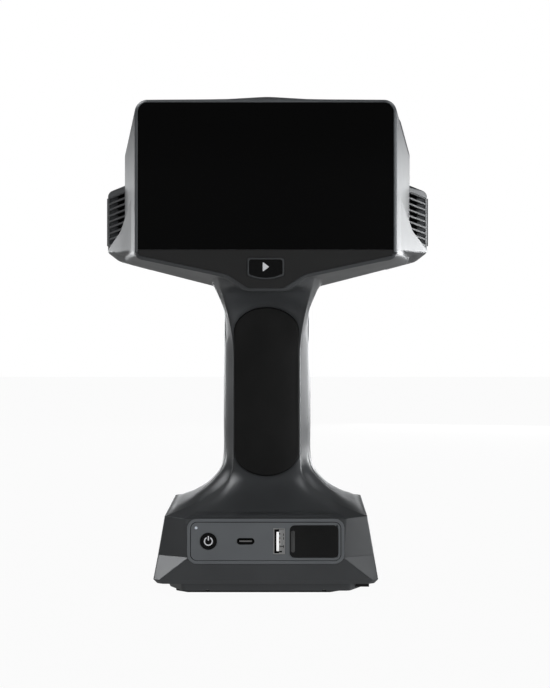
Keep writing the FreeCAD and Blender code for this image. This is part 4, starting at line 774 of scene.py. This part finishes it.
# How wide a strip it sees at that distance, and its sideways shift as a share of the picture.
PICTURE_WIDTH, PICTURE_SHIFT = 0.2805, -0.0258
SENSOR_MM = 36.0
FURTHEST_SEEN = 20.0


def make_camera():
    """Straight at the screen, a little right of the middle, at half height."""
    low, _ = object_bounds()
    data = bpy.data.cameras.new("camera")
    data.sensor_fit = "HORIZONTAL"
    data.sensor_width = SENSOR_MM
    data.lens = SENSOR_MM * CAMERA_REACH / PICTURE_WIDTH
    data.shift_x = PICTURE_SHIFT
    data.clip_end = FURTHEST_SEEN
    camera = bpy.data.objects.new("camera", data)
    camera.location = (CAMERA_ASIDE, low.y - CAMERA_REACH, CAMERA_HEIGHT)
    camera.rotation_euler = (math.radians(90), 0, 0)
    bpy.context.collection.objects.link(camera)
    bpy.context.scene.camera = camera


LIGHT_SIZE = 0.8
LIGHTS_AIM = Vector((0, 0, 0.13))
# Each soft light's place and power.
LIGHTS = {
    "right_fill": ((1.4, -0.9, 0.25), 3.0),
    "left_fill": ((-1.4, -0.9, 0.25), 1.4),
    "front_fill": ((0.1, -1.8, 0.5), 2.6),
    "far_fill": ((0.5, 1.8, 0.13), 6.0),
}


def make_light(name, place, power):
    """A square soft light aimed at the object, which doesn't show in reflections."""
    data = bpy.data.lights.new(name, "AREA")
    data.shape = "RECTANGLE"
    data.size = data.size_y = LIGHT_SIZE
    data.energy = power
    light = bpy.data.objects.new(name, data)
    light.visible_glossy = False
    light.location = place
    way = LIGHTS_AIM - Vector(place)
    light.rotation_euler = way.to_track_quat("-Z", "Y").to_euler()
    bpy.context.collection.objects.link(light)


# How bright the studio walls are round the object: degrees to the right of straight behind it.
WALLS = [
    (-180, 0.04), (-150, 0.04), (-118, 0.04), (-96, 0.05), (-82, 0.8), (-64, 0.6), (-40, 2.0),
    (-21, 5.6), (-8, 4.6), (0, 4.0), (8, 4.2), (21, 7.8), (40, 10.5), (64, 10.0), (90, 5.0),
    (118, 9.0), (150, 0.25), (180, 0.04),
]
PEAK = max(level for degrees, level in WALLS)
# How that light falls off with height: the sine of the elevation, and the share left.
HEIGHTS = [(0.0, 1.0), (0.02, 1.0), (0.04, 0.32), (0.095, 0.32), (0.115, 0.0)]
ROOM = 0.05
STUDIO_TINT = (0.97, 0.985, 1.0, 1)
# Two high soft boxes that only show as reflections: degrees round, degrees up, half-width, level.
HIGH_BOXES = [(-78, 54, 30, 6.0), (78, 54, 24, 2.4)]


def high_box(shader, place, glossy, box):
    """One high soft box, brightest at its middle."""
    around, up, spread, strength = box
    around, up = math.radians(around), math.radians(up)
    match = shader.node("ShaderNodeVectorMath", operation="DOT_PRODUCT")
    shader.join(place, match, 0)
    match.inputs[1].default_value = (
        math.sin(around) * math.cos(up), math.cos(around) * math.cos(up), math.sin(up))
    rim = math.cos(math.radians(spread))
    soft = shader.spread(match.outputs["Value"], 0.0, strength, start=rim, end=1.0)
    return shader.math("MULTIPLY", soft, glossy)


def make_surround():
    """Studio walls round the object as a low bright band, brighter on the right, under a dark roof.

    The camera sees plain white behind the object; only the object sees the band.
    """
    world = bpy.data.worlds.new("surround")
    world.use_nodes = True
    bpy.context.scene.world = world
    shader = Shader("surround", world.node_tree)
    place = shader.node("ShaderNodeTexCoord").outputs["Generated"]
    path = shader.node("ShaderNodeLightPath").outputs
    parts = shader.node("ShaderNodeSeparateXYZ")
    shader.join(place, parts, 0)
    x, y, z = parts.outputs
    around = shader.spread(shader.math("ARCTAN2", x, y), 0.0, 1.0, start=-math.pi, end=math.pi)
    walls = shader.ramp(around, [((degrees + 180) / 360, level / PEAK) for degrees, level in WALLS])
    heights = shader.ramp(shader.math("ABSOLUTE", z, 0), HEIGHTS)
    band = shader.math("MULTIPLY", shader.math("MULTIPLY", walls, heights), PEAK)
    level = shader.math("ADD", band, ROOM)
    for box in HIGH_BOXES:
        level = shader.math("ADD", level, high_box(shader, place, path["Is Glossy Ray"], box))
    background = shader.tree.nodes["Background"]
    background.inputs["Color"].default_value = STUDIO_TINT
    shader.join(level, background, "Strength")
    white = shader.node("ShaderNodeBackground", color=(1, 1, 1, 1), strength=1.0)
    mixer = shader.node("ShaderNodeMixShader")
    shader.join(path["Is Camera Ray"], mixer, 0)
    shader.join(background, mixer, 1)
    shader.join(white, mixer, 2)
    shader.join(mixer, shader.tree.nodes["World Output"], "Surface")


FLOOR_SIZE, FLOOR_BELOW = 12.0, 0.0002
FLOOR_TINT = (0.5, 0.5, 0.5, 1)
FLOOR_ROUGH = 0.9
# How much of the floor is its own glow, for light that the object sees and for the camera.
FLOOR_GLOW, SEEN_GLOW = 0.17, 0.9
GLOW_POWER = 1.06


def make_floor():
    """A pale floor that glows a little, so that the camera sees it as nearly white."""
    bpy.ops.mesh.primitive_plane_add(size=FLOOR_SIZE, location=(0, 0, -FLOOR_BELOW))
    floor = bpy.context.object
    floor.name = "floor"
    shader = Shader("floor")
    shader.surface.inputs["Base Color"].default_value = FLOOR_TINT
    shader.surface.inputs["Roughness"].default_value = FLOOR_ROUGH
    glow = shader.node("ShaderNodeEmission", color=(1, 1, 1, 1), strength=GLOW_POWER)
    path = shader.node("ShaderNodeLightPath").outputs
    mixer = shader.node("ShaderNodeMixShader")
    shader.join(shader.spread(path["Is Camera Ray"], FLOOR_GLOW, SEEN_GLOW), mixer, 0)
    shader.join(shader.surface, mixer, 1)
    shader.join(glow, mixer, 2)
    shader.join(mixer, shader.tree.nodes["Material Output"], "Surface")
    floor.data.materials.append(shader.material)
    floor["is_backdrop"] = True


def make_stage():
    """The floor, the studio walls and the soft lights, with colours shown as they are."""
    make_floor()
    make_surround()
    for name, (place, power) in LIGHTS.items():
        make_light(name, place, power)
    view = bpy.context.scene.view_settings
    view.view_transform = "Standard"
    view.look = "None"


dress_nodes()
grip_pad("rear_grip", 1)
grip_pad("front_grip", -1)
foot_sole()
port_panel = Panel()
panel_cord(port_panel)
port_lid(port_panel)
usb_a_details(port_panel)
usb_c_details(port_panel)
make_stage()
make_camera()
